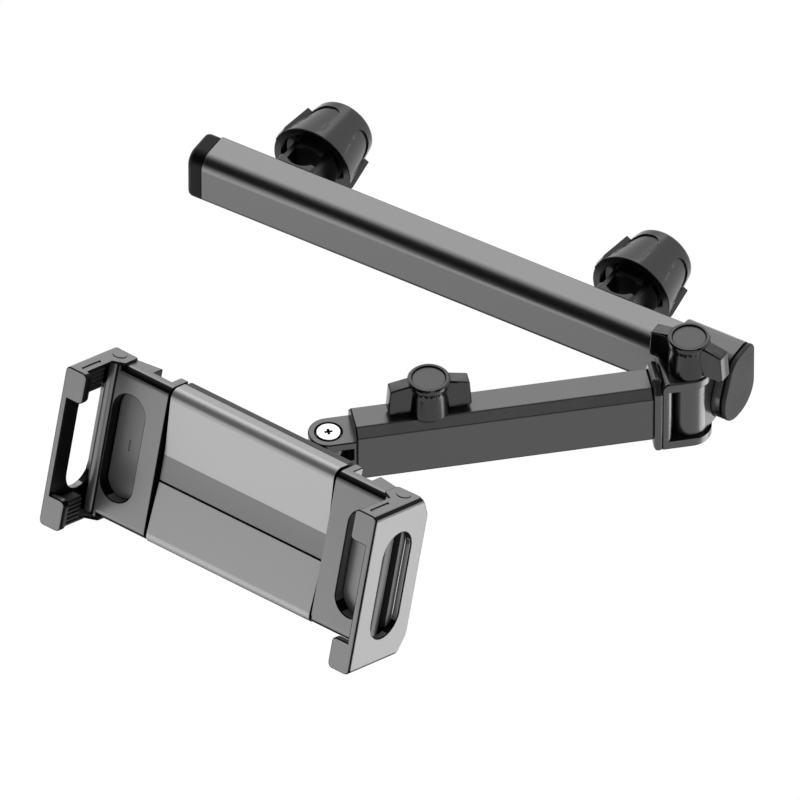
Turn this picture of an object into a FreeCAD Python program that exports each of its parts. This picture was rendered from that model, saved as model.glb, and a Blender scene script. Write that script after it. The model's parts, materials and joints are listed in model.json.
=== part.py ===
"""Tablet mount for a car seat's two headrest posts.

Millimetres. The origin is the axis of the left headrest post at mid height of the rail.
X runs along the rail to the end with the hinge, Y backwards to the posts, and Z up.
"""
import FreeCAD, Part
import math
import os

# Headrest posts and the two clamps that grip them
POST_R = 6.0
POST_SPACING = 156.0
POST_TO_RAIL = 8.3
RUNNING = 0.05
SLIDING = 0.1
LOOSE = 0.3

# Rail
RAIL_LEFT = -42.3
RAIL_DEPTH = 18.0
RAIL_HEIGHT = 24.5
RAIL_WALL = 1.8
RAIL_BACK_R = 1.3
RAIL_TOP_R = 6.6
RAIL_LOW_R = 3.6
SLOT_MOUTH = 8.4
SLOT_LIP = 2.2
SLOT_WIDE = 14.4
SLOT_DEEP = 4.4
SLOT_WEB = 1.6
CORE_R = 2.0
CORE_LOW_R = 2.4
CAP_LENGTH = 7.6
CAP_PLUG = 8.0
CAP_EDGE_R = 2.8
CAP_BACK_R = 3.0
PLUG_FLOOR = 1.0

# End housing with the knuckle
HOUSING_LEFT = 194.0
HOUSING_LENGTH = 28.4
HOUSING_DEPTH = 24.8
HOUSING_HEIGHT = 33.2
HOUSING_RISE = 1.8
HOUSING_WALL = 3.0
TENON_LENGTH = 16.0
TENON_SCREW_IN = 5.7
END_PLATE = 1.9
END_GROOVE = 0.6
END_PLUG = 4.0
PLUG_WALL = 1.4
HOUSING_CROWN = 17.4
CROWN_DROP = 0.4
CROWN_R = 9.0
FRONT_R = 12.0
FRONT_Z = -2.0
BELLY_R = 11.0
BELLY_BACK = 1.0
BACK_TOP_R = 5.5
BACK_LOW_R = 11.5
HOUSING_EDGE_R = 0.9
END_EDGE_R = 0.7
END_PLUG_FLOOR = 0.8
NECK_REACH = 5.0
HINGE_X = 209.8
HINGE_Y = -37.1
BARREL_R = 8.2
BARREL_HEIGHT = 27.8
BUSH_R = 4.5
BOLT_R = 3.0
SCREW_R = 1.5
SCREW_DEEP = 9.0
SCREW_HEAD_R = 2.8
SCREW_HEAD_THICK = 1.2
CROSS_WIDTH = 2.6
CROSS_DEPTH = 0.8
CROSS_ARM = 0.55
SCREW_PITCH = 7.0

# Arm and clevis
ARM_FOLD = 41.8
ARM_WIDTH = 19.5
ARM_HEIGHT = 29.8
ARM_CHAMFER = 3.8
ARM_EDGE_R = 1.2
ARM_WALL = 1.0
ARM_START = 16.8
ARM_END = 143.4
EAR_R = ARM_WIDTH / 2
EAR_THICK = 4.55
WEB_START = 8.5
COLLAR_LENGTH = 4.2
COLLAR_LAP = 0.6
COLLAR_BASE_R = 3.0
EAR_END_R = 3.5
CLEVIS_PLUG = 22.0
CLEVIS_SCREW_IN = 8.0
PLUG_SIDE = 3.0
PLUG_TOP = 3.5
PLUG_START = 2.0
LOCK_AT = 111.0
COLLAR_RISE = 0.6
COLLAR_CORNER_R = 1.5
COLLAR_SIDE_R = 1.0
COLLAR_EDGE_R = 1.4
COLLAR_SHOULDER = 2.0
EAR_EDGE_R = 1.0
WEB_CORNER_R = 3.0
HEX_FLATS = 10.0
HEX_THICK = 2.8
BOLT_REACH = 12.0
WASHER_R = 7.0
WASHER_THICK = 1.0
SHOE_RISE = 1.7
SHOE_HALF = 6.0
NUT_PLATE_THICK = 2.8
NUT_PLATE_HALF = 7.0
MOUTH_BLOCK_LENGTH = 12.0

# Wing knobs
KNOB_HEIGHT = 17.2
KNOB_RING_R = 9.0
KNOB_DISC_R = 6.95
KNOB_HUB_R = 9.1
KNOB_WAIST_R = 8.1
WING_SPAN = 35.7
WING_THICK = 6.7
WING_BOTTOM = 1.0
WING_TOP = 16.0
WING_DROP = 1.7
RING_HEIGHT = 2.3
RING_CHAMFER = 3.1
RING_EDGE = 0.6
WING_CHAMFER = 0.7
WING_TIP_IN = 1.0
WING_TIP_RISE = 1.0
WING_TOP_IN = 0.9
WING_CORNER_R = 1.5
WING_TOP_R = 1.0
DISC_SUNK = 0.7
DISC_GAP = 0.15
DISC_THICK = 1.0
INSERT_R = 5.5
INSERT_TOP = 13.4
INSERT_FLOOR = 0.9
STUD_GRIP = 3.0

# Slider with its fork
SLIDER_WIDTH = 17.3
SLIDER_DROP = 5.1
TAB_THICK = 3.9
FORK_GAP = 5.7
SLIDER_INNER_END = 40.0
GUIDE_LENGTH = 8.0
SLIDER_WALL = 2.5
FORK_ROOM = 1.0
FORK_SOLID = 12.0
SWIVEL_AT = 153.7
SWIVEL_R = 2.5
PIVOT_HEAD_R = 5.15
HEAD_LAP = 0.5
SCREW_RING_R = 5.7
HEAD_THICK = 1.6
HEAD_RISE = 0.1
HEAD_EDGE_R = 0.4
HEAD_CROSS = 3.4
HEAD_CROSS_DEEP = 1.0
SWIVEL_NUT_FLATS = 8.0
SWIVEL_NUT_THICK = 3.2

# Link and tilt joint
SWIVEL_TURN = 39.1
LINK_LENGTH = 36.1
LINK_THICK = 5.5
NECK_NARROW = 1.5
NECK_SHOULDER = 4.0
NECK_SHOULDER_R = 3.0
EYE_CLEAR = 1.6
EYE_ROOT = 3.0
LUG_ROOM = 0.7
TONGUE_R = 8.0
TILT_DROP = 2.05
TILT_UP = 19.1
TILT_EAR_R = 4.5
TILT_EAR_THICK = 3.2
TILT_LUG_WIDTH = 8.0
LUG_LAP = 0.5
TILT_PIN_R = 2.0
TILT_HEAD_R = 3.4
TILT_HEAD_THICK = 1.8
TILT_NUT_FLATS = 7.0
TILT_NUT_THICK = 2.4
TILT_TO_FRONT = 22.8
SPIN_REST = 3.5

# Holder covers
COVER_HALF = 44.0
COVER_UP = 36.2
FRONT_THICK = 9.0
BACK_THICK = 4.4
VALLEY_DEPTH = 2.6
BAND_HALF = 7.2
COVER_EDGE_R = 4.0
CREST_SETBACK = 1.0
CREST_R = 1.5
SPIN_HUB_R = 9.0
SPIN_DISC_R = 12.0
SPIN_DISC_THICK = 2.4
SPIN_SCREW_R = 1.0
SPIN_SCREW_OUT = 5.6
SPIN_SCREW_ANGLES = (90, 210, 330)
SPIN_SCREW_DEEP = 4.0
SPIN_SCREW_HEAD_R = 1.9
SPIN_SCREW_HEAD = 0.9
RETAINER_FOOT_IN = 1.0
RETAINER_THICK = 1.4
COVER_WALL = 1.8
BAND_LINE = 0.4
BAND_LINE_DEEP = 0.5
ROD_HOUSING = 3.0
COVER_BOSS_R = 2.6
BOSS_SUNK = 0.5
SPRING_PEG_R = 0.9
COVER_HEAD_R = 2.2
COVER_HEAD_THICK = 1.3
COVER_HEAD_SUNK = 1.6
COVER_HEAD_ROOM = 0.2
BACK_CORNER_R = 1.5
BACK_EDGE_R = 1.4
COVER_SCREW_R = 1.2
COVER_SCREW_X = 36.0
COVER_SCREW_UP = 6.0
SPRING_POST_AT = 34.0

# Sliding end blocks with their rods and springs
BLOCK_GAP = 0.8
BLOCK_UP = 35.8
JAW_PIN_AT = 76.0
JAW_PIN_BACK = 5.0
BLOCK_BARREL_R = 4.2
BLOCK_FLAT_END = 72.4
POCKET_AT = 63.1
POCKET_HIGH = 49.6
POCKET_WIDE = 16.9
POCKET_DEEP = 6.0
POCKET_GAP = 0.35
POCKET_PAD = 1.0
MARK_LONG = 4.8
MARK_WIDE = 0.6
MARK_DEEP = 0.2
ROD_R = 2.0
ROD_UP = 29.6
ROD_BACK = 10.0
ROD_INNER = 3.0
ROD_OUTER = 57.0
ROD_END_R = 1.2
TONGUE_INNER = 20.0
TONGUE_UP = 16.0
TONGUE_FRONT = -6.5
TONGUE_BACK = -8.3
TONGUE_HALF = 4.0
BLOCK_BACK_DEEP = 12.8
BLOCK_BACK_FLAT = 12.0
STEP_IN = 1.4
STEP_DEEP = 3.2
RIDGE_END = 5.0
NOTCH_UNDER = 3.2
NOTCH_FRONT = -6.4
PIN_R = 1.5
PIN_DEEP = 12.0
PIN_HEAD_R = 3.1
PIN_HEAD_THICK = 0.3
ROD_NOTCH_GAP = 4.0
ROD_NOTCH_WIDE = 9.5
SPRING_R = 2.1
SPRING_WIRE_R = 0.35
SPRING_PITCH = 2.6
SPRING_START_GAP = 1.4
SPRING_END_GAP = 0.4
SPRING_FORWARD = 0.5

# Jaws
JAW_OUTER = 83.3
JAW_FRONT = 22.6
JAW_WALL = 3.4
JAW_SHELF = 1.2
JAW_REAR_GAP = 0.6
JAW_REAR_R = 1.2
JAW_FRONT_R = 1.2
JAW_ROOT_IN = 6.7
JAW_ROOT_OUT = -0.5
HOOK_TIP_R = 1.5
SHELF_WIDE = 8.9
SHELF_REAR = 2.5
SHELF_CORNER_R = 0.5
EAR_STEP_R = 1.5
JAW_ROOT_R = 1.5
JAW_TAIL = 9.9
JAW_TAIL_UP = 9.0
JAW_TAIL_R = 6.0
JAW_TAIL_TOP_R = 2.0
JAW_EDGE_R = 2.7
HOOK_CORNER_R = 3.0
GROOVE_IN = 4.9
GROOVE_WIDE = 1.5
GROOVE_DEEP = 0.5
GROOVE_LONG = 12.5
HOOK_TIP = 71.5
HOOK_TALL = 14.3
WINDOW_HIGH = 49.2
WINDOW_WIDE = 18.9
WINDOW_MARGIN = 10.0
PAD_NEAR = 6.5
PAD_FAR = 18.6
PAD_RIB = 0.7
PAD_RIB_PITCH = 2.0
PAD_RIBS = 5
PAD_START = 0.8
PAD_END_GAP = 0.4
RIB_START = 1.3
RIB_HALF = 0.5

# Clamp nut
NUT_MOUTH_Y = 6.7
NUT_LENGTH = 27.5
NUT_MOUTH_R = 18.8
NUT_FAR_R = 13.9
NUT_LIP_R = 15.4
NUT_LIP_DEEP = 5.0
THREAD_R = 11.9
PRONG_END = 24.0
PRONG_SLOT = 13.2
CARRIAGE_WIDE = 18.0
CARRIAGE_TALL = 23.0
PLATE_BACK_Y = -4.1
PAD_HALF = 9.5
FOOT_HALF = 14.0
NECK_HALF = 12.0
PLATE_CORNER_R = 2.0
PRONG_TALL = 17.0
THREAD_GAP = 1.3
BLOCK_PLAY = 0.2
PAD_PLAY = 0.4
SPIGOT_GROOVE_AT = 1.6
SPIGOT_GROOVE_WIDE = 1.0
SPIGOT_GROOVE_DEEP = 0.6
LINER = 1.2
THRUST_FACE_Y = 7.6
THRUST_BACK_Y = 26.9
SPIGOT_R = 4.0
SPIGOT_LENGTH = 4.0
RIB_REACH = 19.0
RIB_WIDE = 7.0
RIB_RISE = 1.3
RIB_INNER_GAP = 0.4
RIB_END_RISE = 0.5
RIB_FOOT_IN = 0.1
RIB_LEAD = 3.0
RIB_LEAD_RISE = 0.4
RIB_ANGLE = 150.0
FLUTE_REACH = 22.0
FLUTE_DEPTH = 0.8
FLUTE_CLEAR = 6.0
FLUTE_SKIN = 0.02
FLUTE_WIDER = 0.9
FLUTE_TIP_ROUND = 0.75
FLUTE_SPREAD = 48.0
FLUTE_STARTS = (82.0, -6.0)
FLUTE_RUNOUT = 4.0
NUT_FAR_EDGE_R = 2.6
NUT_LIP_EDGE_R = 0.4
NUT_THREAD_LEAD = 1.5

# Values that follow from the sizes above
RAIL_BACK_Y = -POST_TO_RAIL
RAIL_FRONT_Y = RAIL_BACK_Y - RAIL_DEPTH
RAIL_TUBE_LEFT = RAIL_LEFT + CAP_LENGTH
CORE_BACK_Y = RAIL_BACK_Y - SLOT_LIP - SLOT_DEEP - SLOT_WEB
HOUSING_RIGHT = HOUSING_LEFT + HOUSING_LENGTH
EAR_BOTTOM = BARREL_HEIGHT / 2 + RUNNING
EAR_TOP = EAR_BOTTOM + EAR_THICK
ARM_TOP = ARM_HEIGHT / 2
ARM_INNER_TOP = ARM_TOP - ARM_WALL
SLIDER_TOP = ARM_INNER_TOP - SLIDER_DROP
FORK_TOP = SLIDER_TOP - TAB_THICK
FORK_FLOOR = FORK_TOP - FORK_GAP
SLIDER_BOTTOM = FORK_FLOOR - TAB_THICK
LINK_MIDDLE = (FORK_TOP + FORK_FLOOR) / 2
BACK_FACE = -FRONT_THICK - BACK_THICK
BLOCK_INNER = COVER_HALF + BLOCK_GAP
PAD_THICK = SHELF_WIDE - JAW_WALL - PAD_RIB
HOUSING_SCREW_X = (HOUSING_LEFT - TENON_SCREW_IN - SCREW_PITCH, HOUSING_LEFT - TENON_SCREW_IN)
CLEVIS_SCREW_X = (ARM_START + CLEVIS_SCREW_IN, ARM_START + CLEVIS_SCREW_IN + SCREW_PITCH)
SHOE_TOP = SLIDER_TOP + SHOE_RISE
TILT_Z = LINK_MIDDLE - TILT_DROP
CAVITY_FRONT = -VALLEY_DEPTH - COVER_WALL
COVER_SCREWS = [(x, y) for x in (-COVER_SCREW_X, COVER_SCREW_X) for y in (-COVER_SCREW_UP, COVER_SCREW_UP)]
SPIN_SCREW_PLACES = [(SPIN_SCREW_OUT * math.cos(math.radians(a)),
                      SPIN_SCREW_OUT * math.sin(math.radians(a)))
                     for a in SPIN_SCREW_ANGLES]
ROD_NOTCH_START = BLOCK_INNER + ROD_NOTCH_GAP
ROD_NOTCH_END = ROD_NOTCH_START + ROD_NOTCH_WIDE

# Directions
RIGHT = FreeCAD.Vector(1, 0, 0)
BACK = FreeCAD.Vector(0, 1, 0)
UP = FreeCAD.Vector(0, 0, 1)
ORIGIN = FreeCAD.Vector(0, 0, 0)


def vec(x, y, z=0.0):
    return FreeCAD.Vector(x, y, z)


def box(x, y, z):
    """A block between the pairs of limits x, y and z."""
    size = [high - low for low, high in (x, y, z)]
    return Part.makeBox(size[0], size[1], size[2], vec(x[0], y[0], z[0]))


def cylinder(radius, start, end):
    """A round bar between two points."""
    along = end - start
    return Part.makeCylinder(radius, along.Length, start, along)


def outline(corners):
    """A closed wire in the XY plane through (x, y, radius) corners."""
    firsts, lasts, arcs = [], [], []
    count = len(corners)
    for index, (x, y, radius) in enumerate(corners):
        corner = vec(x, y)
        before = vec(*corners[index - 1][:2])
        after = vec(*corners[(index + 1) % count][:2])
        come = (before - corner).normalize()
        go = (after - corner).normalize()
        if radius == 0:
            firsts.append(corner)
            lasts.append(corner)
            arcs.append(None)
            continue
        half = come.getAngle(go) / 2
        run = radius / math.tan(half)
        first = corner + come * run
        last = corner + go * run
        middle = corner + (come + go).normalize() * (radius / math.sin(half) - radius)
        firsts.append(first)
        lasts.append(last)
        arcs.append(Part.Arc(first, middle, last).toShape())
    edges = []
    for index in range(count):
        if arcs[index]:
            edges.append(arcs[index])
        start, end = lasts[index], firsts[(index + 1) % count]
        if start.distanceToPoint(end) > 1e-6:
            edges.append(Part.LineSegment(start, end).toShape())
    return Part.Wire(edges)


def prism(corners, low, high, inset=0.0):
    """The outline, moved inwards by inset, drawn up from low to high along Z."""
    wire = outline(corners)
    if inset:
        wire = wire.makeOffset2D(-inset, 2)
    face = Part.Face(wire)
    face.translate(vec(0, 0, low))
    return face.extrude(vec(0, 0, high - low))


def laid(shape, first, second):
    """Turn a shape so that its own X and Y axes point along first and second."""
    turn = FreeCAD.Rotation(first, second, first.cross(second), "XYZ")
    moved = shape.copy()
    moved.Placement = FreeCAD.Placement(ORIGIN, turn).multiply(moved.Placement)
    return moved


def prism_x(corners, low, high, inset=0.0):
    """An outline of (y, z, radius) corners drawn along X."""
    return laid(prism(corners, low, high, inset), BACK, UP)


def turned_solid(points, axis_point, axis):
    """A full turn of the closed polygon of points about an axis."""
    wire = Part.makePolygon(points + [points[0]])
    return Part.Face(wire).revolve(axis_point, axis, 360)


def stadium(half_x, half_y):
    """Corners of a slot shape about the origin, with full round ends."""
    radius = min(half_x, half_y) - 0.001
    return [(half_x, half_y, radius), (-half_x, half_y, radius),
            (-half_x, -half_y, radius), (half_x, -half_y, radius)]


def rectangle(half_x, half_y, radius=0):
    return [(half_x, half_y, radius), (-half_x, half_y, radius),
            (-half_x, -half_y, radius), (half_x, -half_y, radius)]


def shifted(shape, x, y, z):
    moved = shape.copy()
    moved.translate(vec(x, y, z))
    return moved


def fuse(*shapes):
    joined = shapes[0].multiFuse(list(shapes[1:]))
    return joined.removeSplitter()


def edge_cutter(corner, side, radius, low, high):
    """What an edge along Z loses when it is rounded; side says where the air is, as (x, y) signs."""
    x, y = corner
    over = side[0] * radius, side[1] * radius
    block = box(sorted((x - over[0], x + over[0])), sorted((y - over[1], y + over[1])), (low, high))
    middle = vec(x - over[0], y - over[1], low)
    return block.cut(cylinder(radius, middle, middle + UP * (high - low)))


def edges_where(shape, test):
    return [edge for edge in shape.Edges if test(edge.BoundBox)]


def rounded(shape, radius, test):
    """Round the edges whose bounding box passes the test."""
    return shape.makeFillet(radius, edges_where(shape, test))


# Rail, cap and end housing

def rail_corners():
    top = RAIL_HEIGHT / 2
    return [(RAIL_BACK_Y, top, RAIL_BACK_R), (RAIL_FRONT_Y, top, RAIL_TOP_R),
            (RAIL_FRONT_Y, -top, RAIL_LOW_R), (RAIL_BACK_Y, -top, RAIL_BACK_R)]


def core_corners():
    """The front hollow of the rail."""
    top = RAIL_HEIGHT / 2 - RAIL_WALL
    front = RAIL_FRONT_Y + RAIL_WALL
    return [(CORE_BACK_Y, top, CORE_R), (front, top, RAIL_TOP_R - RAIL_WALL),
            (front, -top, CORE_LOW_R), (CORE_BACK_Y, -top, CORE_R)]


def crossbar_tube():
    tube = prism_x(rail_corners(), RAIL_TUBE_LEFT, HOUSING_LEFT)
    ends = (RAIL_TUBE_LEFT - 1, HOUSING_LEFT + 1)
    lip = RAIL_BACK_Y - SLOT_LIP
    mouth = box(ends, (lip - 1, RAIL_BACK_Y + 1), (-SLOT_MOUTH / 2, SLOT_MOUTH / 2))
    chamber = box(ends, (lip - SLOT_DEEP, lip), (-SLOT_WIDE / 2, SLOT_WIDE / 2))
    core = prism_x(core_corners(), *ends)
    tube = tube.cut(mouth).cut(chamber).cut(core)
    for bar in bars_from_below(housing_screw_places(), -RAIL_HEIGHT / 2, SCREW_R + SLIDING, RAIL_WALL + 1):
        tube = tube.cut(bar)
    return tube


def left_end_cap():
    top = RAIL_HEIGHT / 2
    corners = [(RAIL_BACK_Y, top, CAP_BACK_R), *rail_corners()[1:3], (RAIL_BACK_Y, -top, CAP_BACK_R)]
    cap = prism_x(corners, RAIL_LEFT, RAIL_TUBE_LEFT)
    cap = rounded(cap, CAP_EDGE_R, lambda b: b.XMax < RAIL_LEFT + 0.01)
    plug = prism_x(core_corners(), RAIL_TUBE_LEFT, RAIL_TUBE_LEFT + CAP_PLUG, SLIDING)
    relief = prism_x(core_corners(), RAIL_TUBE_LEFT + PLUG_FLOOR, RAIL_TUBE_LEFT + CAP_PLUG + 1,
                     SLIDING + PLUG_WALL)
    return fuse(cap, plug.cut(relief))


def bars_from_below(places, bottom, radius, high):
    """Upright bars on the lines of screws driven up into a face."""
    return [cylinder(radius, vec(x, y, bottom - 2), vec(x, y, bottom + high)) for x, y in places]


def screws_from_below(places, bottom):
    """Crosshead screws whose heads hang under a face."""
    screws = []
    for x, y in places:
        seat, face = vec(x, y, bottom), vec(x, y, bottom - SCREW_HEAD_THICK)
        shank = cylinder(SCREW_R, seat, seat + UP * SCREW_DEEP)
        head = cylinder(SCREW_HEAD_R, face, seat).cut(cross_recess(face, UP, CROSS_WIDTH, CROSS_DEPTH))
        screws.append(fuse(shank, head))
    return Part.makeCompound(screws)


def housing_screw_places():
    middle = (CORE_BACK_Y + RAIL_FRONT_Y + RAIL_WALL) / 2
    return [(x, middle) for x in HOUSING_SCREW_X]


def housing_screws():
    return screws_from_below(housing_screw_places(), -RAIL_HEIGHT / 2)


def cross_recess(face, inwards, width, depth):
    """A crosshead drive recess that starts at a face and runs inwards along Z."""
    sense = 1 if inwards.z > 0 else -1
    low, high = sorted((face.z - sense, face.z + sense * depth))
    half, arm = width / 2, CROSS_ARM
    bars = [box((face.x - half, face.x + half), (face.y - arm, face.y + arm), (low, high)),
            box((face.x - arm, face.x + arm), (face.y - half, face.y + half), (low, high))]
    return bars[0].fuse(bars[1])


def housing_corners():
    """D section: flat back, sloping crown, round front."""
    top = HOUSING_RISE + HOUSING_HEIGHT / 2
    low = HOUSING_RISE - HOUSING_HEIGHT / 2
    crown = RAIL_BACK_Y - HOUSING_CROWN
    front = RAIL_BACK_Y - HOUSING_DEPTH
    middle = HOUSING_RISE + FRONT_Z
    return [(RAIL_BACK_Y, top, BACK_TOP_R), (crown, top - CROWN_DROP, CROWN_R), (front, middle, FRONT_R),
            (front + BELLY_BACK, low, BELLY_R), (RAIL_BACK_Y, low, BACK_LOW_R)]


def end_housing():
    shell = prism_x(housing_corners(), HOUSING_LEFT, HOUSING_RIGHT)
    shell = rounded(shell, HOUSING_EDGE_R, lambda b: b.XMax < HOUSING_LEFT + 0.01)
    room = prism_x(housing_corners(), HOUSING_LEFT + HOUSING_WALL, HOUSING_RIGHT + 1, HOUSING_WALL)
    tenon = prism_x(core_corners(), HOUSING_LEFT - TENON_LENGTH, HOUSING_LEFT + 1, SLIDING)
    half = BARREL_HEIGHT / 2
    barrel = cylinder(BARREL_R, vec(HINGE_X, HINGE_Y, -half), vec(HINGE_X, HINGE_Y, half))
    neck_back = RAIL_BACK_Y - HOUSING_DEPTH + NECK_REACH
    neck = box((HINGE_X - BARREL_R, HINGE_X + BARREL_R), (HINGE_Y, neck_back), (-half, half))
    swing = cylinder(EAR_R + LOOSE, vec(HINGE_X, HINGE_Y, -HOUSING_HEIGHT), vec(HINGE_X, HINGE_Y, -half))
    over = cylinder(EAR_R + LOOSE, vec(HINGE_X, HINGE_Y, half), vec(HINGE_X, HINGE_Y, HOUSING_HEIGHT))
    body = fuse(shell, tenon, neck, barrel).cut(room).cut(swing).cut(over)
    seat = cylinder(BUSH_R, vec(HINGE_X, HINGE_Y, -half - 1), vec(HINGE_X, HINGE_Y, half + 1))
    body = body.cut(seat)
    for bar in bars_from_below(housing_screw_places(), -RAIL_HEIGHT / 2, SCREW_R, SCREW_DEEP):
        body = body.cut(bar)
    return body


def housing_end_cap():
    plate_start = HOUSING_RIGHT + END_GROOVE
    plate = prism_x(housing_corners(), plate_start, plate_start + END_PLATE)
    plate = rounded(plate, END_EDGE_R, lambda b: b.XMin > plate_start + END_PLATE - 0.01)
    waist = prism_x(housing_corners(), HOUSING_RIGHT, plate_start, END_GROOVE)
    plug = prism_x(housing_corners(), HOUSING_RIGHT - END_PLUG, HOUSING_RIGHT, HOUSING_WALL + SLIDING)
    hollow = prism_x(housing_corners(), HOUSING_RIGHT - END_PLUG - 1, HOUSING_RIGHT - END_PLUG_FLOOR,
                     HOUSING_WALL + SLIDING + PLUG_WALL)
    return fuse(plate, waist, plug.cut(hollow))


def knuckle_bush():
    half = BARREL_HEIGHT / 2
    low, high = vec(HINGE_X, HINGE_Y, -half), vec(HINGE_X, HINGE_Y, half)
    sleeve = cylinder(BUSH_R, low, high)
    return sleeve.cut(cylinder(BOLT_R + RUNNING, low - UP, high + UP))


# Clamps for the headrest posts, built about the left post

def carriage():
    foot_front = RAIL_BACK_Y - SLOT_LIP - SLOT_DEEP + SLIDING
    foot_back = RAIL_BACK_Y - SLOT_LIP - SLIDING
    half_foot = SLOT_WIDE / 2 - SLIDING
    half_neck = SLOT_MOUTH / 2 - SLIDING
    plate_front = RAIL_BACK_Y + SLIDING
    foot = box((-FOOT_HALF, FOOT_HALF), (foot_front, foot_back), (-half_foot, half_foot))
    neck = box((-NECK_HALF, NECK_HALF), (foot_back - 1, plate_front + 1), (-half_neck, half_neck))
    wide, tall = CARRIAGE_WIDE / 2, CARRIAGE_TALL / 2
    plate = laid(prism(rectangle(tall, wide, PLATE_CORNER_R), plate_front, PLATE_BACK_Y), UP, RIGHT)
    trough = cylinder(POST_R + LINER, vec(0, 0, -tall - 1), vec(0, 0, tall + 1))
    slot = PRONG_SLOT / 2
    prongs = []
    thread = cylinder(THREAD_R, vec(0, NUT_MOUTH_Y + THREAD_GAP, 0), vec(0, PRONG_END, 0))
    thread = thread.cut(box((-slot, slot), (0, PRONG_END + 1), (-THREAD_R, THREAD_R)))
    for side in (-1, 1):
        x = sorted((side * slot, side * wide))
        prongs.append(box(x, (PLATE_BACK_Y - 1, NUT_MOUTH_Y + 2), (-PRONG_TALL / 2, PRONG_TALL / 2)))
    return fuse(plate.cut(trough), foot, neck, *prongs, thread)


def post_liner():
    """Rubber lining of the trough in the base plate."""
    sleeve = cylinder(POST_R + LINER, vec(0, 0, -PAD_HALF), vec(0, 0, PAD_HALF))
    sleeve = sleeve.cut(cylinder(POST_R, vec(0, 0, -PAD_HALF - 1), vec(0, 0, PAD_HALF + 1)))
    reach = POST_R + LINER + 1
    return sleeve.common(box((-reach, reach), (-reach, PLATE_BACK_Y), (-reach * 2, reach * 2)))


def thrust_block():
    half = PRONG_SLOT / 2 - BLOCK_PLAY
    block = box((-half, half), (THRUST_FACE_Y, THRUST_BACK_Y), (-PAD_HALF, PAD_HALF))
    spigot = cylinder(SPIGOT_R, vec(0, THRUST_BACK_Y - 1, 0), vec(0, THRUST_BACK_Y + SPIGOT_LENGTH, 0))
    start = THRUST_BACK_Y + SPIGOT_GROOVE_AT
    groove = cylinder(SPIGOT_R + 1, vec(0, start, 0), vec(0, start + SPIGOT_GROOVE_WIDE, 0))
    core = cylinder(SPIGOT_R - SPIGOT_GROOVE_DEEP, vec(0, THRUST_BACK_Y, 0),
                    vec(0, THRUST_BACK_Y + SPIGOT_LENGTH, 0))
    groove = groove.cut(core)
    return fuse(block, spigot).cut(groove)


def thrust_pad():
    """Rubber saddle that the nut pushes against the post."""
    half = PRONG_SLOT / 2 - PAD_PLAY
    pad = box((-half, half), (-PLATE_BACK_Y, THRUST_FACE_Y), (-PAD_HALF, PAD_HALF))
    return pad.cut(cylinder(POST_R, vec(0, 0, -PAD_HALF - 1), vec(0, 0, PAD_HALF + 1)))


def nut_radius(reach):
    """Outer radius of the nut at a distance from its mouth."""
    return NUT_MOUTH_R + (NUT_FAR_R - NUT_MOUTH_R) * reach / NUT_LENGTH


def clamp_nut():
    mouth, far = NUT_MOUTH_Y, NUT_MOUTH_Y + NUT_LENGTH
    floor = THRUST_BACK_Y + SLIDING
    thread = THREAD_R + RUNNING
    hole = SPIGOT_R + RUNNING
    lip = mouth + NUT_LIP_DEEP
    hole_end = floor + SPIGOT_LENGTH
    body = turned_solid([vec(0, mouth), vec(NUT_MOUTH_R, mouth), vec(NUT_FAR_R, far), vec(0, far)],
                        ORIGIN, BACK)
    body = rounded(body, NUT_FAR_EDGE_R, lambda b: b.YMin > far - 0.01 and b.XLength > NUT_FAR_R)
    ribs = nut_ribs()
    for cutter in nut_flutes():
        body = body.cut(cutter)
    body = fuse(body, *ribs)
    bore = turned_solid([vec(0, mouth - 1), vec(NUT_LIP_R, mouth - 1), vec(NUT_LIP_R, lip),
                         vec(thread, lip + NUT_THREAD_LEAD), vec(thread, floor), vec(hole, floor),
                         vec(hole, hole_end), vec(0, hole_end)], ORIGIN, BACK)
    body = body.cut(bore)
    return rounded(body, NUT_LIP_EDGE_R, lambda b: b.YMax < mouth + 0.01 and b.XLength > 2 * NUT_LIP_R + 1)


def about_y(shape, degrees):
    """Turn about the nut's axis, from +X towards +Z."""
    return shape.rotated(ORIGIN, BACK, -degrees)


def nut_ribs():
    inner = NUT_LIP_R + RIB_INNER_GAP
    top_far = nut_radius(RIB_REACH) + RIB_RISE + RIB_END_RISE
    corners = [(inner, NUT_MOUTH_Y, 0), (NUT_MOUTH_R - RIB_FOOT_IN, NUT_MOUTH_Y, 0),
               (NUT_MOUTH_R + RIB_LEAD_RISE, NUT_MOUTH_Y + RIB_LEAD, 0),
               (top_far, NUT_MOUTH_Y + RIB_REACH, 0),
               (NUT_FAR_R - 1, NUT_MOUTH_Y + RIB_REACH, 0)]
    rib = prism(corners, -RIB_WIDE / 2, RIB_WIDE / 2)
    return [about_y(rib, RIB_ANGLE + turn) for turn in (0, 180)]


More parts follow.
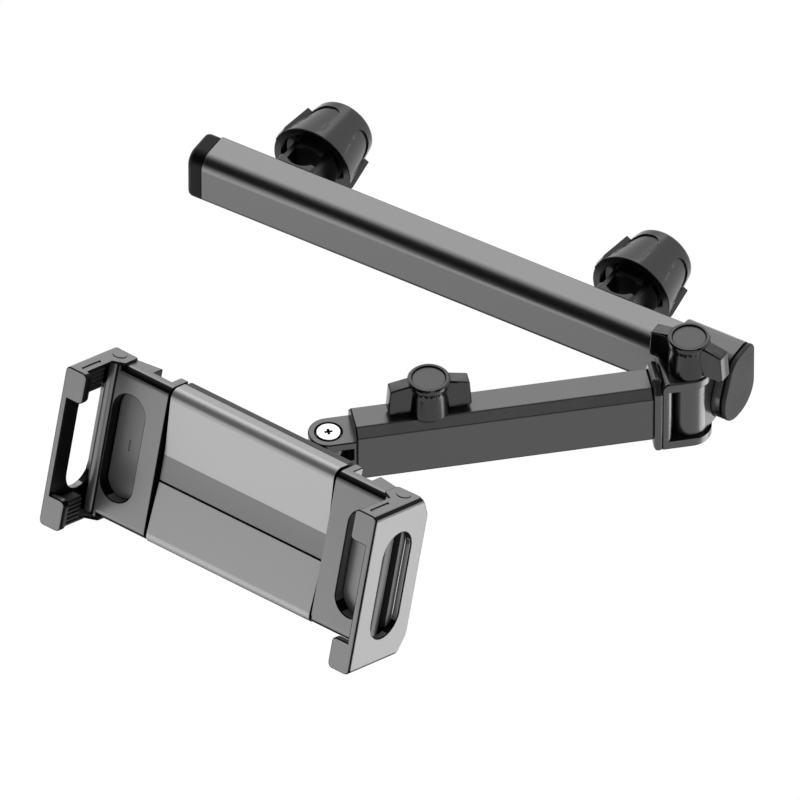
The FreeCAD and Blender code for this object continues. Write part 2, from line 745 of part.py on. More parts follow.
def nut_flutes():
    """Shallow finger flutes that deepen from the mouth to a round end."""
    deep_r = nut_radius(FLUTE_REACH + FLUTE_RUNOUT) - FLUTE_DEPTH
    end = NUT_MOUTH_Y + FLUTE_REACH + FLUTE_RUNOUT
    outside = NUT_MOUTH_R + FLUTE_CLEAR
    around = turned_solid([vec(NUT_MOUTH_R + FLUTE_SKIN, NUT_MOUTH_Y), vec(outside, NUT_MOUTH_Y),
                           vec(outside, end), vec(deep_r, end)], ORIGIN, BACK)
    half = NUT_FAR_R * math.sin(math.radians(FLUTE_SPREAD / 2)) + FLUTE_WIDER
    tip = NUT_MOUTH_Y + FLUTE_REACH
    tip_r = half * FLUTE_TIP_ROUND
    corners = [(NUT_MOUTH_Y - 2, -half, 0), (tip, -half, tip_r),
               (tip, half, tip_r), (NUT_MOUTH_Y - 2, half, 0)]
    prong = laid(prism(corners, 0, outside + 2), BACK, UP)
    flute = around.common(prong)
    return [about_y(flute, start + FLUTE_SPREAD / 2 + turn)
            for start in FLUTE_STARTS for turn in (0, 180)]


# Arm parts, built along X from the hinge pin, then turned to the arm's line

def arm_octagon():
    half, top, cut = ARM_WIDTH / 2, ARM_HEIGHT / 2, ARM_CHAMFER
    soft = ARM_EDGE_R
    return [(half, top - cut, soft), (half - cut, top, soft), (cut - half, top, soft),
            (-half, top - cut, soft), (-half, cut - top, soft), (cut - half, -top, soft),
            (half - cut, -top, soft), (half, cut - top, soft)]


def arm_tube():
    tube = prism_x(arm_octagon(), ARM_START, ARM_END)
    tube = tube.cut(prism_x(arm_octagon(), ARM_START - 1, ARM_END + 1, ARM_WALL))
    lock_hole = cylinder(BOLT_R + LOOSE, vec(LOCK_AT, 0, 0), vec(LOCK_AT, 0, ARM_HEIGHT))
    for bar in bars_from_below(clevis_screw_places(), -ARM_TOP, SCREW_R + SLIDING, ARM_WALL + 1):
        tube = tube.cut(bar)
    return tube.cut(lock_hole)


def clevis_screw_places():
    return [(x, 0) for x in CLEVIS_SCREW_X]


def clevis_screws():
    return screws_from_below(clevis_screw_places(), -ARM_HEIGHT / 2)


def hinge_clevis():
    half = ARM_WIDTH / 2
    valley = ARM_START - COLLAR_LENGTH
    end = valley + COLLAR_LAP
    plan = [(end, half, 0), (-half, half, half - 0.001), (-half, -half, half - 0.001), (end, -half, 0)]
    body = prism(plan, -EAR_TOP, EAR_TOP)
    body = rounded(body, EAR_EDGE_R, lambda b: b.ZLength < 0.01)
    fall = edge_cutter((end, EAR_TOP), (1, 1), EAR_END_R, -half - 1, half + 1)
    body = body.cut(laid(fall, RIGHT, UP))
    crown = EAR_TOP + COLLAR_RISE
    flat = half - ARM_CHAMFER
    side = ARM_TOP - COLLAR_SHOULDER
    section = [(half, side, COLLAR_SIDE_R), (flat, crown, COLLAR_CORNER_R),
               (-flat, crown, COLLAR_CORNER_R), (-half, side, COLLAR_SIDE_R),
               (-half, -EAR_TOP, COLLAR_SIDE_R), (half, -EAR_TOP, COLLAR_SIDE_R)]
    collar = prism_x(section, valley, ARM_START)
    collar = rounded(collar, COLLAR_EDGE_R, lambda b: b.XLength < 0.01 and b.ZMin > 0)
    sole = edge_cutter((ARM_START, -EAR_TOP), (1, -1), COLLAR_BASE_R, -half - 1, half + 1)
    collar = collar.cut(laid(sole, RIGHT, UP))
    body = fuse(body, collar)
    pocket = box((-half - 1, WEB_START), (-half - 1, half + 1), (-EAR_BOTTOM, EAR_BOTTOM))
    body = body.cut(pocket)
    bend = WEB_START + WEB_CORNER_R
    for side in (-1, 1):
        middle = vec(bend, side * (half - WEB_CORNER_R), 0)
        y = sorted((side * (half - WEB_CORNER_R), side * (half + 1)))
        corner = box((WEB_START - 1, bend), y, (-EAR_BOTTOM, EAR_BOTTOM))
        body = body.cut(corner.cut(cylinder(WEB_CORNER_R, middle - UP * EAR_TOP, middle + UP * EAR_TOP)))
    plug = prism_x(arm_octagon(), ARM_START - 1, ARM_START + CLEVIS_PLUG, ARM_WALL)
    core = box((ARM_START + PLUG_START, ARM_START + CLEVIS_PLUG + 1), (PLUG_SIDE - half, half - PLUG_SIDE),
               (SCREW_DEEP - ARM_TOP, ARM_TOP - PLUG_TOP))
    body = fuse(body, plug.cut(core))
    body = body.cut(cylinder(BOLT_R + RUNNING, vec(0, 0, -EAR_TOP - 1), vec(0, 0, EAR_TOP + 1)))
    body = body.cut(hex_bar(HEX_FLATS + SLIDING, -EAR_TOP - 1, -EAR_TOP + HEX_THICK))
    for bar in bars_from_below(clevis_screw_places(), -ARM_TOP, SCREW_R, SCREW_DEEP):
        body = body.cut(bar)
    return body


def hex_bar(flats, low, high):
    across = flats / math.sqrt(3)
    corners = [(across * math.cos(math.radians(60 * k)), across * math.sin(math.radians(60 * k)), 0)
               for k in range(6)]
    return prism(corners, low, high)


def hinge_bolt():
    head = hex_bar(HEX_FLATS, -EAR_TOP + SLIDING, -EAR_TOP + HEX_THICK)
    shank = cylinder(BOLT_R, vec(0, 0, -EAR_TOP + HEX_THICK - 1), vec(0, 0, EAR_TOP + BOLT_REACH))
    return fuse(head, shank)


def hinge_washer():
    low, high = vec(0, 0, EAR_TOP), vec(0, 0, EAR_TOP + WASHER_THICK)
    return cylinder(WASHER_R, low, high).cut(cylinder(BOLT_R + SLIDING, low - UP, high + UP))


def wing_knob(base, bore_r, washer_room):
    """Wing knob on a base height, with a blind bore for its insert."""
    ring = KNOB_HEIGHT - RING_HEIGHT
    points = [vec(0, 0, 0), vec(KNOB_HUB_R, 0, 0), vec(KNOB_WAIST_R, 0, ring - RING_CHAMFER),
              vec(KNOB_RING_R, 0, ring), vec(KNOB_RING_R, 0, KNOB_HEIGHT - RING_EDGE),
              vec(KNOB_RING_R - RING_EDGE, 0, KNOB_HEIGHT), vec(0, 0, KNOB_HEIGHT)]
    hub = turned_solid(points, ORIGIN, UP)
    half = WING_SPAN / 2
    corners = [(0, WING_BOTTOM, 0), (half - WING_TIP_IN, WING_BOTTOM, WING_CORNER_R),
               (half, WING_BOTTOM + WING_TIP_RISE, WING_CORNER_R),
               (half - WING_TOP_IN, WING_TOP - WING_DROP, WING_TOP_R), (KNOB_RING_R, WING_TOP, 0),
               (0, WING_TOP, 0)]
    wing = laid(prism(corners, -WING_THICK / 2, WING_THICK / 2), RIGHT, UP)
    outer = edges_where(wing, lambda b: b.YLength < 0.01 and b.XMax > KNOB_RING_R + 0.1)
    wing = wing.makeChamfer(WING_CHAMFER, outer)
    knob = fuse(hub, wing, wing.mirror(ORIGIN, RIGHT))
    seat = KNOB_HEIGHT - DISC_THICK - DISC_SUNK
    recess = cylinder(KNOB_DISC_R + DISC_GAP, vec(0, 0, seat), vec(0, 0, KNOB_HEIGHT + 1))
    bore = cylinder(bore_r, vec(0, 0, -1), vec(0, 0, INSERT_TOP))
    knob = knob.cut(recess).cut(bore)
    if washer_room:
        knob = knob.cut(cylinder(WASHER_R + LOOSE, vec(0, 0, -1), vec(0, 0, WASHER_THICK + SLIDING)))
    return shifted(knob, 0, 0, base)


def knob_disc(base):
    top = KNOB_HEIGHT - DISC_SUNK
    return cylinder(KNOB_DISC_R, vec(0, 0, base + top - DISC_THICK), vec(0, 0, base + top))


def hinge_knob_insert():
    low = EAR_TOP + WASHER_THICK + SLIDING
    top = EAR_TOP + INSERT_TOP
    sleeve = cylinder(INSERT_R, vec(0, 0, low), vec(0, 0, top))
    return sleeve.cut(cylinder(BOLT_R + RUNNING, vec(0, 0, low - 1), vec(0, 0, top - INSERT_FLOOR)))


def lock_stud():
    """Threaded stud fixed in the lock knob; its tip bears on the shoe."""
    flange = cylinder(INSERT_R, vec(0, 0, ARM_TOP + SLIDING + 1), vec(0, 0, ARM_TOP + INSERT_TOP))
    shank = cylinder(BOLT_R, vec(0, 0, SHOE_TOP + RUNNING), vec(0, 0, ARM_TOP + STUD_GRIP))
    return shifted(fuse(flange, shank), LOCK_AT, 0, 0)


def lock_shoe():
    low = SLIDER_TOP + RUNNING
    return box((LOCK_AT - SHOE_HALF, LOCK_AT + SHOE_HALF), (-SHOE_HALF, SHOE_HALF), (low, SHOE_TOP))


def lock_nut_plate():
    low, high = ARM_INNER_TOP - NUT_PLATE_THICK, ARM_INNER_TOP
    half = ARM_WIDTH / 2 - ARM_CHAMFER - ARM_WALL
    plate = box((LOCK_AT - NUT_PLATE_HALF, LOCK_AT + NUT_PLATE_HALF), (-half, half), (low, high))
    return plate.cut(cylinder(BOLT_R + RUNNING, vec(LOCK_AT, 0, low - 1), vec(LOCK_AT, 0, high + 1)))


def mouth_blocks():
    """Upper and lower bearing blocks inside the arm's mouth."""
    start = ARM_END - MOUTH_BLOCK_LENGTH
    fill = prism_x(arm_octagon(), start, ARM_END, ARM_WALL)
    gap = box((start - 1, ARM_END + 1), (-ARM_WIDTH, ARM_WIDTH),
              (SLIDER_BOTTOM - SLIDING, SLIDER_TOP + SLIDING))
    return fill.cut(gap)


def slider_fork():
    half = SLIDER_WIDTH / 2
    bar = box((SLIDER_INNER_END, SWIVEL_AT), (-half, half), (SLIDER_BOTTOM, SLIDER_TOP))
    nose = cylinder(half, vec(SWIVEL_AT, 0, SLIDER_BOTTOM), vec(SWIVEL_AT, 0, SLIDER_TOP))
    guide = prism_x(arm_octagon(), SLIDER_INNER_END, SLIDER_INNER_END + GUIDE_LENGTH, ARM_WALL + SLIDING)
    body = fuse(bar, nose, guide)
    gap_end = SWIVEL_AT - TONGUE_R - FORK_ROOM
    body = body.cut(box((gap_end, SWIVEL_AT + half + 1), (-half - 1, half + 1), (FORK_FLOOR, FORK_TOP)))
    body = body.cut(cylinder(SWIVEL_R + RUNNING, vec(SWIVEL_AT, 0, SLIDER_BOTTOM - 1),
                             vec(SWIVEL_AT, 0, SLIDER_TOP + 1)))
    body = body.cut(cylinder(SCREW_RING_R, vec(SWIVEL_AT, 0, SLIDER_TOP - HEAD_THICK),
                             vec(SWIVEL_AT, 0, SLIDER_TOP + 1)))
    hollow = box((SLIDER_INNER_END - 1, gap_end - FORK_SOLID), (SLIDER_WALL - half, half - SLIDER_WALL),
                 (SLIDER_BOTTOM + SLIDER_WALL, SLIDER_TOP - SLIDER_WALL))
    return body.cut(hollow)


def pivot_screw():
    head_low = SLIDER_TOP - HEAD_THICK
    head = cylinder(PIVOT_HEAD_R, vec(SWIVEL_AT, 0, head_low), vec(SWIVEL_AT, 0, SLIDER_TOP + HEAD_RISE))
    head = rounded(head, HEAD_EDGE_R, lambda b: b.ZMin > SLIDER_TOP)
    shank = cylinder(SWIVEL_R, vec(SWIVEL_AT, 0, SLIDER_BOTTOM - SWIVEL_NUT_THICK - 1),
                     vec(SWIVEL_AT, 0, head_low + HEAD_LAP))
    face = vec(SWIVEL_AT, 0, SLIDER_TOP + HEAD_RISE)
    return fuse(head, shank).cut(cross_recess(face, -UP, HEAD_CROSS, HEAD_CROSS_DEEP))


def pivot_nut():
    low = SLIDER_BOTTOM - SWIVEL_NUT_THICK
    nut = shifted(hex_bar(SWIVEL_NUT_FLATS, low, SLIDER_BOTTOM), SWIVEL_AT, 0, 0)
    return nut.cut(cylinder(SWIVEL_R, vec(SWIVEL_AT, 0, low - 1), vec(SWIVEL_AT, 0, SLIDER_BOTTOM + 1)))


# Link, built along X from the swivel screw


def swivel_link():
    low, high = LINK_MIDDLE - LINK_THICK / 2, LINK_MIDDLE + LINK_THICK / 2
    tongue = cylinder(TONGUE_R, vec(0, 0, low), vec(0, 0, high))
    gap = TILT_LUG_WIDTH / 2 + SLIDING
    outer = gap + TILT_EAR_THICK
    neck_end = LINK_LENGTH - TILT_EAR_R - EYE_CLEAR
    narrow = TONGUE_R - NECK_NARROW
    shoulder = neck_end - NECK_SHOULDER
    neck = prism([(0, -narrow, 0), (shoulder, -outer, NECK_SHOULDER_R), (neck_end, -outer, 0),
                  (neck_end, outer, 0), (shoulder, outer, NECK_SHOULDER_R), (0, narrow, 0)], low, high)
    eye = cylinder(TILT_EAR_R, vec(LINK_LENGTH, -outer, TILT_Z), vec(LINK_LENGTH, outer, TILT_Z))
    root = box((neck_end - EYE_ROOT, LINK_LENGTH), (-outer, outer),
               (TILT_Z - TILT_EAR_R, TILT_Z + TILT_EAR_R))
    body = fuse(tongue, neck, eye, root)
    room = box((LINK_LENGTH - TILT_EAR_R - LUG_ROOM, LINK_LENGTH + TILT_EAR_R + 1), (-gap, gap),
               (TILT_Z - 2 * TILT_EAR_R, TILT_Z + 2 * TILT_EAR_R))
    body = body.cut(room)
    body = body.cut(cylinder(SWIVEL_R + RUNNING, vec(0, 0, low - 1), vec(0, 0, high + 1)))
    pin_hole = cylinder(TILT_PIN_R, vec(LINK_LENGTH, -outer - 1, TILT_Z),
                        vec(LINK_LENGTH, outer + 1, TILT_Z))
    return body.cut(pin_hole)


def tilt_pin():
    outer = TILT_LUG_WIDTH / 2 + SLIDING + TILT_EAR_THICK
    seat = vec(LINK_LENGTH, -outer, TILT_Z)
    end = vec(LINK_LENGTH, outer + TILT_NUT_THICK, TILT_Z)
    head = cylinder(TILT_HEAD_R, seat - BACK * TILT_HEAD_THICK, seat)
    return fuse(cylinder(TILT_PIN_R, seat - BACK, end), head)


def tilt_nut():
    outer = TILT_LUG_WIDTH / 2 + SLIDING + TILT_EAR_THICK
    nut = laid(hex_bar(TILT_NUT_FLATS, outer, outer + TILT_NUT_THICK), UP, RIGHT)
    nut = shifted(nut, LINK_LENGTH, 0, TILT_Z)
    bore_end = outer + TILT_NUT_THICK + 1
    return nut.cut(cylinder(TILT_PIN_R, vec(LINK_LENGTH, 0, TILT_Z), vec(LINK_LENGTH, bore_end, TILT_Z)))


# Holder, built with X across, Y up the plate and Z out of its front face

def tilt_bracket():
    disc_low = BACK_FACE - SPIN_DISC_THICK
    hub_top = -FRONT_THICK - RUNNING
    disc = cylinder(SPIN_DISC_R, vec(0, 0, disc_low), vec(0, 0, BACK_FACE - RUNNING))
    hub = cylinder(SPIN_HUB_R, vec(0, 0, disc_low), vec(0, 0, hub_top))
    half = TILT_LUG_WIDTH / 2
    lug = cylinder(TILT_EAR_R, vec(-half, 0, -TILT_TO_FRONT), vec(half, 0, -TILT_TO_FRONT))
    root = box((-half, half), (-TILT_EAR_R, TILT_EAR_R), (-TILT_TO_FRONT, disc_low + LUG_LAP))
    body = fuse(disc, hub, lug, root)
    body = body.cut(cylinder(TILT_PIN_R + RUNNING, vec(-half - 1, 0, -TILT_TO_FRONT),
                             vec(half + 1, 0, -TILT_TO_FRONT)))
    for x, y in SPIN_SCREW_PLACES:
        body = body.cut(cylinder(SPIN_SCREW_R, vec(x, y, hub_top - SPIN_SCREW_DEEP), vec(x, y, 0)))
    return body


def spin_retainer():
    low = -FRONT_THICK + RUNNING
    ring = cylinder(SPIN_DISC_R, vec(0, 0, low), vec(0, 0, low + RETAINER_THICK))
    foot = cylinder(SPIN_HUB_R - RETAINER_FOOT_IN, vec(0, 0, -FRONT_THICK - RUNNING),
                    vec(0, 0, low + RETAINER_THICK / 2))
    ring = fuse(ring, foot)
    for x, y in SPIN_SCREW_PLACES:
        ring = ring.cut(cylinder(SPIN_SCREW_R, vec(x, y, -FRONT_THICK - RETAINER_THICK), vec(x, y, 0)))
    return ring


def spin_screws():
    top = -FRONT_THICK + RUNNING + RETAINER_THICK
    bottom = -FRONT_THICK - RUNNING - SPIN_SCREW_DEEP
    screws = []
    for x, y in SPIN_SCREW_PLACES:
        shank = cylinder(SPIN_SCREW_R, vec(x, y, bottom), vec(x, y, top + SPIN_SCREW_HEAD / 2))
        head = cylinder(SPIN_SCREW_HEAD_R, vec(x, y, top), vec(x, y, top + SPIN_SCREW_HEAD))
        screws.append(fuse(shank, head))
    return Part.makeCompound(screws)


def valley_corners():
    """Section of the front cover in (up, out): two panels that slope to a flat band."""
    crest = COVER_UP - COVER_EDGE_R - CREST_SETBACK
    return [(COVER_UP, -FRONT_THICK, 0), (COVER_UP, 0, COVER_EDGE_R), (crest, 0, CREST_R),
            (BAND_HALF, -VALLEY_DEPTH, 0), (-BAND_HALF, -VALLEY_DEPTH, 0), (-crest, 0, CREST_R),
            (-COVER_UP, 0, COVER_EDGE_R), (-COVER_UP, -FRONT_THICK, 0)]


def across(corners, low, high):
    """An outline of (up, out, radius) corners drawn across the holder."""
    return prism_x(corners, low, high)


def rod_bars(radius, low, high):
    return [cylinder(radius, vec(low, up, -ROD_BACK), vec(high, up, -ROD_BACK)) for up in (ROD_UP, -ROD_UP)]


def tongue_bar(low, high, up, clearance=0.0):
    return box((low, high), (up - TONGUE_HALF - clearance, up + TONGUE_HALF + clearance),
               (TONGUE_BACK - clearance, TONGUE_FRONT + clearance))


def front_cover():
    body = across(valley_corners(), -COVER_HALF, COVER_HALF)
    inner = COVER_HALF - COVER_WALL
    cavity = box((-inner, inner), (-COVER_UP + COVER_WALL, COVER_UP - COVER_WALL),
                 (-FRONT_THICK - 1, CAVITY_FRONT))
    body = body.cut(cavity)
    rod_walls = []
    for side in (-1, 1):
        up = sorted((side * (ROD_UP - ROD_HOUSING), side * (COVER_UP - COVER_WALL)))
        rod_walls.append(box((-inner, inner), up, (-FRONT_THICK, CAVITY_FRONT)))
    body = fuse(body, *rod_walls)
    for bar in rod_bars(ROD_R + RUNNING, -COVER_HALF - 1, COVER_HALF + 1):
        body = body.cut(bar)
    for side in (-1, 1):
        low, high = sorted((side * (inner - 1), side * (COVER_HALF + 1)))
        body = body.cut(tongue_bar(low, high, -side * TONGUE_UP, SLIDING))
    line = box((-COVER_HALF - 1, COVER_HALF + 1), (-BAND_HALF - BAND_LINE, -BAND_HALF),
               (-VALLEY_DEPTH - BAND_LINE_DEEP, 0))
    body = body.cut(line)
    bosses = [cylinder(COVER_BOSS_R, vec(x, y, -FRONT_THICK), vec(x, y, CAVITY_FRONT + BOSS_SUNK))
              for x, y in COVER_SCREWS]
    body = fuse(body, *bosses, *spring_posts())
    for x, y in COVER_SCREWS:
        body = body.cut(cylinder(COVER_SCREW_R, vec(x, y, -FRONT_THICK - 1), vec(x, y, CAVITY_FRONT)))
    return body


def spring_posts():
    """Pegs that hold the fixed ends of the two springs."""
    return [cylinder(SPRING_PEG_R, vec(side * SPRING_POST_AT, side * TONGUE_UP, 1 - FRONT_THICK),
                     vec(side * SPRING_POST_AT, side * TONGUE_UP, CAVITY_FRONT + BOSS_SUNK))
            for side in (-1, 1)]


def back_cover():
    low, high = BACK_FACE, -FRONT_THICK
    body = prism(rectangle(COVER_HALF, COVER_UP, BACK_CORNER_R), low, high)
    body = rounded(body, BACK_EDGE_R, lambda b: b.ZMax < low + 0.01)
    for bar in rod_bars(ROD_R + RUNNING, -COVER_HALF - 1, COVER_HALF + 1):
        body = body.cut(bar)
    body = body.cut(cylinder(SPIN_HUB_R + RUNNING, vec(0, 0, low - 1), vec(0, 0, high + 1)))
    for x, y in COVER_SCREWS:
        body = body.cut(cylinder(COVER_SCREW_R + SLIDING, vec(x, y, low - 1), vec(x, y, high + 1)))
        body = body.cut(cylinder(COVER_HEAD_R + COVER_HEAD_ROOM, vec(x, y, low - 1),
                                 vec(x, y, low + COVER_HEAD_SUNK)))
    return body


def cover_screws():
    screws = []
    for x, y in COVER_SCREWS:
        seat = BACK_FACE + COVER_HEAD_SUNK
        face = vec(x, y, seat - COVER_HEAD_THICK)
        shank = cylinder(COVER_SCREW_R, vec(x, y, seat - COVER_HEAD_THICK / 3),
                         vec(x, y, CAVITY_FRONT - BOSS_SUNK))
        head = cylinder(COVER_HEAD_R, face, vec(x, y, seat))
        head = head.cut(cross_recess(face, UP, CROSS_WIDTH, CROSS_DEPTH))
        screws.append(fuse(shank, head))
    return Part.makeCompound(screws)


def spring(side):
    """Extension spring from the far cover post to the block's tongue, at rest length."""
    start = side * (SPRING_START_GAP - SPRING_POST_AT)
    end = side * (TONGUE_INNER - SPRING_END_GAP)
    up = -side * TONGUE_UP
    length = abs(end - start)
    helix = Part.makeHelix(SPRING_PITCH, length, SPRING_R - SPRING_WIRE_R)
    ring = Part.Wire(Part.makeCircle(SPRING_WIRE_R, vec(SPRING_R - SPRING_WIRE_R, 0, 0), BACK))
    coil = Part.Wire(helix).makePipeShell([ring], True, True)
    coil = laid(coil, BACK, UP)
    middle = (TONGUE_FRONT + TONGUE_BACK) / 2 + SPRING_FORWARD
    return shifted(coil, min(start, end), up, middle)


# End blocks and jaws, built for the right side and mirrored for the left

def pin_bar(radius, low, high):
    """A round bar on the line of the jaw's pin."""
    return cylinder(radius, vec(JAW_PIN_AT, low, -JAW_PIN_BACK), vec(JAW_PIN_AT, high, -JAW_PIN_BACK))


def block_body():
    """Block with its ridge ends rounded, before pockets are cut."""
    corners = [(BLOCK_INNER, -BLOCK_BACK_DEEP), (BLOCK_INNER, 0), (BLOCK_FLAT_END, 0),
               (BLOCK_FLAT_END + STEP_IN, -STEP_DEEP), (JAW_PIN_AT, -STEP_DEEP),
               (JAW_PIN_AT, -JAW_PIN_BACK - BLOCK_BARREL_R),
               (BLOCK_INNER + BLOCK_BACK_FLAT, -BLOCK_BACK_DEEP)]
    face = Part.Face(Part.makePolygon([vec(x, -BLOCK_UP, z) for x, z in corners + corners[:1]]))
    body = face.extrude(vec(0, 2 * BLOCK_UP, 0))
    for side in (-1, 1):
        low, high = sorted((side * (BLOCK_UP - COVER_EDGE_R), side * (BLOCK_UP + 1)))
        ridge = box((BLOCK_INNER - 1, JAW_PIN_AT - RIDGE_END), (low, high), (-COVER_EDGE_R, 1))
        start = vec(BLOCK_INNER - 1, side * (BLOCK_UP - COVER_EDGE_R), -COVER_EDGE_R)
        ridge = ridge.cut(cylinder(COVER_EDGE_R, start, start + RIGHT * (JAW_PIN_AT - BLOCK_INNER)))
        body = body.cut(ridge)
    barrel = cylinder(BLOCK_BARREL_R, vec(JAW_PIN_AT, -BLOCK_UP, -JAW_PIN_BACK),
                      vec(JAW_PIN_AT, BLOCK_UP, -JAW_PIN_BACK))
    return fuse(body, barrel)


def finished_block():
    body = block_body()
    notch = box((ROD_NOTCH_START, ROD_NOTCH_END), (ROD_UP - NOTCH_UNDER, BLOCK_UP + 1),
                (-BLOCK_BACK_DEEP - 1, NOTCH_FRONT))
    body = body.cut(notch).cut(notch.mirror(ORIGIN, BACK))
    pocket = shifted(prism(stadium(POCKET_WIDE / 2, POCKET_HIGH / 2), -POCKET_DEEP, 1), POCKET_AT, 0, 0)
    body = body.cut(pocket)
    for bar in rod_bars(ROD_R, BLOCK_INNER - 1, ROD_OUTER):
        body = body.cut(bar)
    tongue = tongue_bar(TONGUE_INNER, BLOCK_INNER + 2, -TONGUE_UP)
    body = fuse(body, tongue)
    for sense in (-1, 1):
        low, high = sorted((sense * (BLOCK_UP - PIN_DEEP), sense * (BLOCK_UP + 1)))
        body = body.cut(pin_bar(PIN_R, low, high))
    return body


def guide_rods():
    rods = []
    for rod in rod_bars(ROD_R, ROD_INNER, ROD_OUTER):
        rods.append(rounded(rod, ROD_END_R, lambda b: b.XMin > ROD_OUTER - 0.01))
    return Part.makeCompound(rods)


def block_pad():
    """Lining on the pocket's floor, with a short line sunk in it."""
    top = POCKET_PAD - POCKET_DEEP
    pad = prism(stadium(POCKET_WIDE / 2 - POCKET_GAP, POCKET_HIGH / 2 - POCKET_GAP), -POCKET_DEEP, top)
    mark = box((-MARK_WIDE / 2, MARK_WIDE / 2), (-MARK_LONG / 2, MARK_LONG / 2), (top - MARK_DEEP, top + 1))
    return shifted(pad.cut(mark), POCKET_AT, 0, 0)


def jaw():
    top = BLOCK_UP + SLIDING + JAW_SHELF
    inner_top = BLOCK_UP + SLIDING
    rear = -JAW_PIN_BACK - BLOCK_BARREL_R - JAW_REAR_GAP
    root = JAW_PIN_AT - JAW_ROOT_IN
    shelf = JAW_OUTER - SHELF_WIDE
    plate_back = JAW_FRONT - JAW_WALL
    plan = [(JAW_OUTER, rear, JAW_REAR_R), (JAW_OUTER, JAW_FRONT, JAW_FRONT_R),
            (HOOK_TIP, JAW_FRONT, HOOK_TIP_R), (HOOK_TIP, plate_back, SHELF_CORNER_R),
            (shelf, plate_back, SHELF_CORNER_R), (shelf, SHELF_REAR, EAR_STEP_R),
            (root, JAW_ROOT_OUT, EAR_STEP_R), (root, rear, JAW_ROOT_R)]
    tail = -JAW_PIN_BACK - JAW_TAIL
    tail_up = top - JAW_TAIL_UP
    plate = [(top, 0, 0), (top, rear, JAW_TAIL_TOP_R), (tail_up, tail, JAW_TAIL_R),
             (-tail_up, tail, JAW_TAIL_R), (-top, rear, JAW_TAIL_TOP_R), (-top, 0, 0)]
    block = fuse(laid_plan(plan, -top, top), across(plate, JAW_OUTER - JAW_WALL, JAW_OUTER))
    inside = (root - 2, JAW_OUTER - JAW_WALL)
    room = box(inside, (-inner_top, inner_top), (rear - 1, plate_back))
    mouth = box(inside, (HOOK_TALL - top, top - HOOK_TALL), (0, JAW_FRONT + 1))
    body = block.cut(room).cut(mouth)
    relief = pin_bar(BLOCK_BARREL_R + LOOSE, -inner_top, inner_top)
    window_middle = JAW_FRONT - WINDOW_MARGIN - WINDOW_WIDE / 2
    window = prism(stadium(WINDOW_WIDE / 2, WINDOW_HIGH / 2), JAW_OUTER - JAW_WALL - 2, JAW_OUTER + 2)
    window = shifted(laid(window, UP, BACK).mirror(ORIGIN, RIGHT), 0, 0, window_middle)
    body = body.cut(relief).cut(window)
    for side in (-1, 1):
        low, high = sorted((side * (inner_top - 1), side * (top + 1)))
        body = body.cut(pin_bar(PIN_R + RUNNING, low, high))
        start = HOOK_TIP + GROOVE_IN
        groove = box((start, start + GROOVE_WIDE), sorted((side * (top - GROOVE_DEEP), side * (top + 1))),
                     (plate_back - GROOVE_LONG, plate_back))
        body = body.cut(groove)
        past = JAW_FRONT + 1
        shoulder = edge_cutter((JAW_OUTER, side * top), (1, side), JAW_EDGE_R, tail - 1, past)
        tip = edge_cutter((HOOK_TIP, side * top), (-1, side), HOOK_CORNER_R, plate_back - 1, past)
        heel = edge_cutter((HOOK_TIP, side * (top - HOOK_TALL)), (-1, -side), HOOK_CORNER_R,
                           plate_back - 1, past)
        body = body.cut(shoulder).cut(tip).cut(heel)
    return body


def laid_plan(corners, low, high):
    """Corners given as (across, out, radius), drawn up the holder from low to high."""
    solid = prism([(x, -z, r) for x, z, r in corners], low, high)
    return laid(solid, RIGHT, -UP)


def jaw_pins():
    top = BLOCK_UP + SLIDING + JAW_SHELF
    pins = []
    for side in (-1, 1):
        shank = pin_bar(PIN_R, *sorted((side * (BLOCK_UP - PIN_DEEP), side * top)))
        head = pin_bar(PIN_HEAD_R, *sorted((side * top, side * (top + PIN_HEAD_THICK))))
        pins.append(fuse(shank, head))
    return Part.makeCompound(pins)


def jaw_pads():
    """Ribbed rubber pads on the side wall, above and below the window."""
    face = JAW_OUTER - JAW_WALL
    start = WINDOW_HIGH / 2 + PAD_START
    pads = []
    for side in (-1, 1):
        low, high = sorted((side * start, side * (BLOCK_UP - PAD_END_GAP)))
        pad = box((face - PAD_THICK, face), (low, high), (PAD_NEAR, PAD_FAR))
        ribs = []
        for number in range(PAD_RIBS):
            middle = side * (start + RIB_START + number * PAD_RIB_PITCH)
            ribs.append(box((face - PAD_THICK - PAD_RIB, face), (middle - RIB_HALF, middle + RIB_HALF),
                            (PAD_NEAR, PAD_FAR)))
        pads.append(fuse(pad, *ribs))
    return Part.makeCompound(pads)


# Where each group of parts stands

def along(origin, first, third):
    """Placement whose X points along first and whose Z points along third."""
    second = third.cross(first)
    return FreeCAD.Placement(origin, FreeCAD.Rotation(first, second, third, "XYZ"))


def heading(degrees):
    return vec(math.cos(math.radians(degrees)), math.sin(math.radians(degrees)))


ARM_HEADING = 180 + ARM_FOLD
LINK_HEADING = ARM_HEADING + SWIVEL_TURN
HINGE_POINT = vec(HINGE_X, HINGE_Y)
ARM_DIR = heading(ARM_HEADING)
LINK_DIR = heading(LINK_HEADING)
SWIVEL_POINT = HINGE_POINT + ARM_DIR * SWIVEL_AT
TILT_POINT = SWIVEL_POINT + LINK_DIR * LINK_LENGTH + UP * TILT_Z
OUT_DIR = LINK_DIR * math.cos(math.radians(TILT_UP)) + UP * math.sin(math.radians(TILT_UP))
LEVEL_DIR = vec(-LINK_DIR.y, LINK_DIR.x)
HOLDER_POINT = TILT_POINT + OUT_DIR * TILT_TO_FRONT
ACROSS_DIR = (LEVEL_DIR * math.cos(math.radians(SPIN_REST))
              + OUT_DIR.cross(LEVEL_DIR) * math.sin(math.radians(SPIN_REST)))

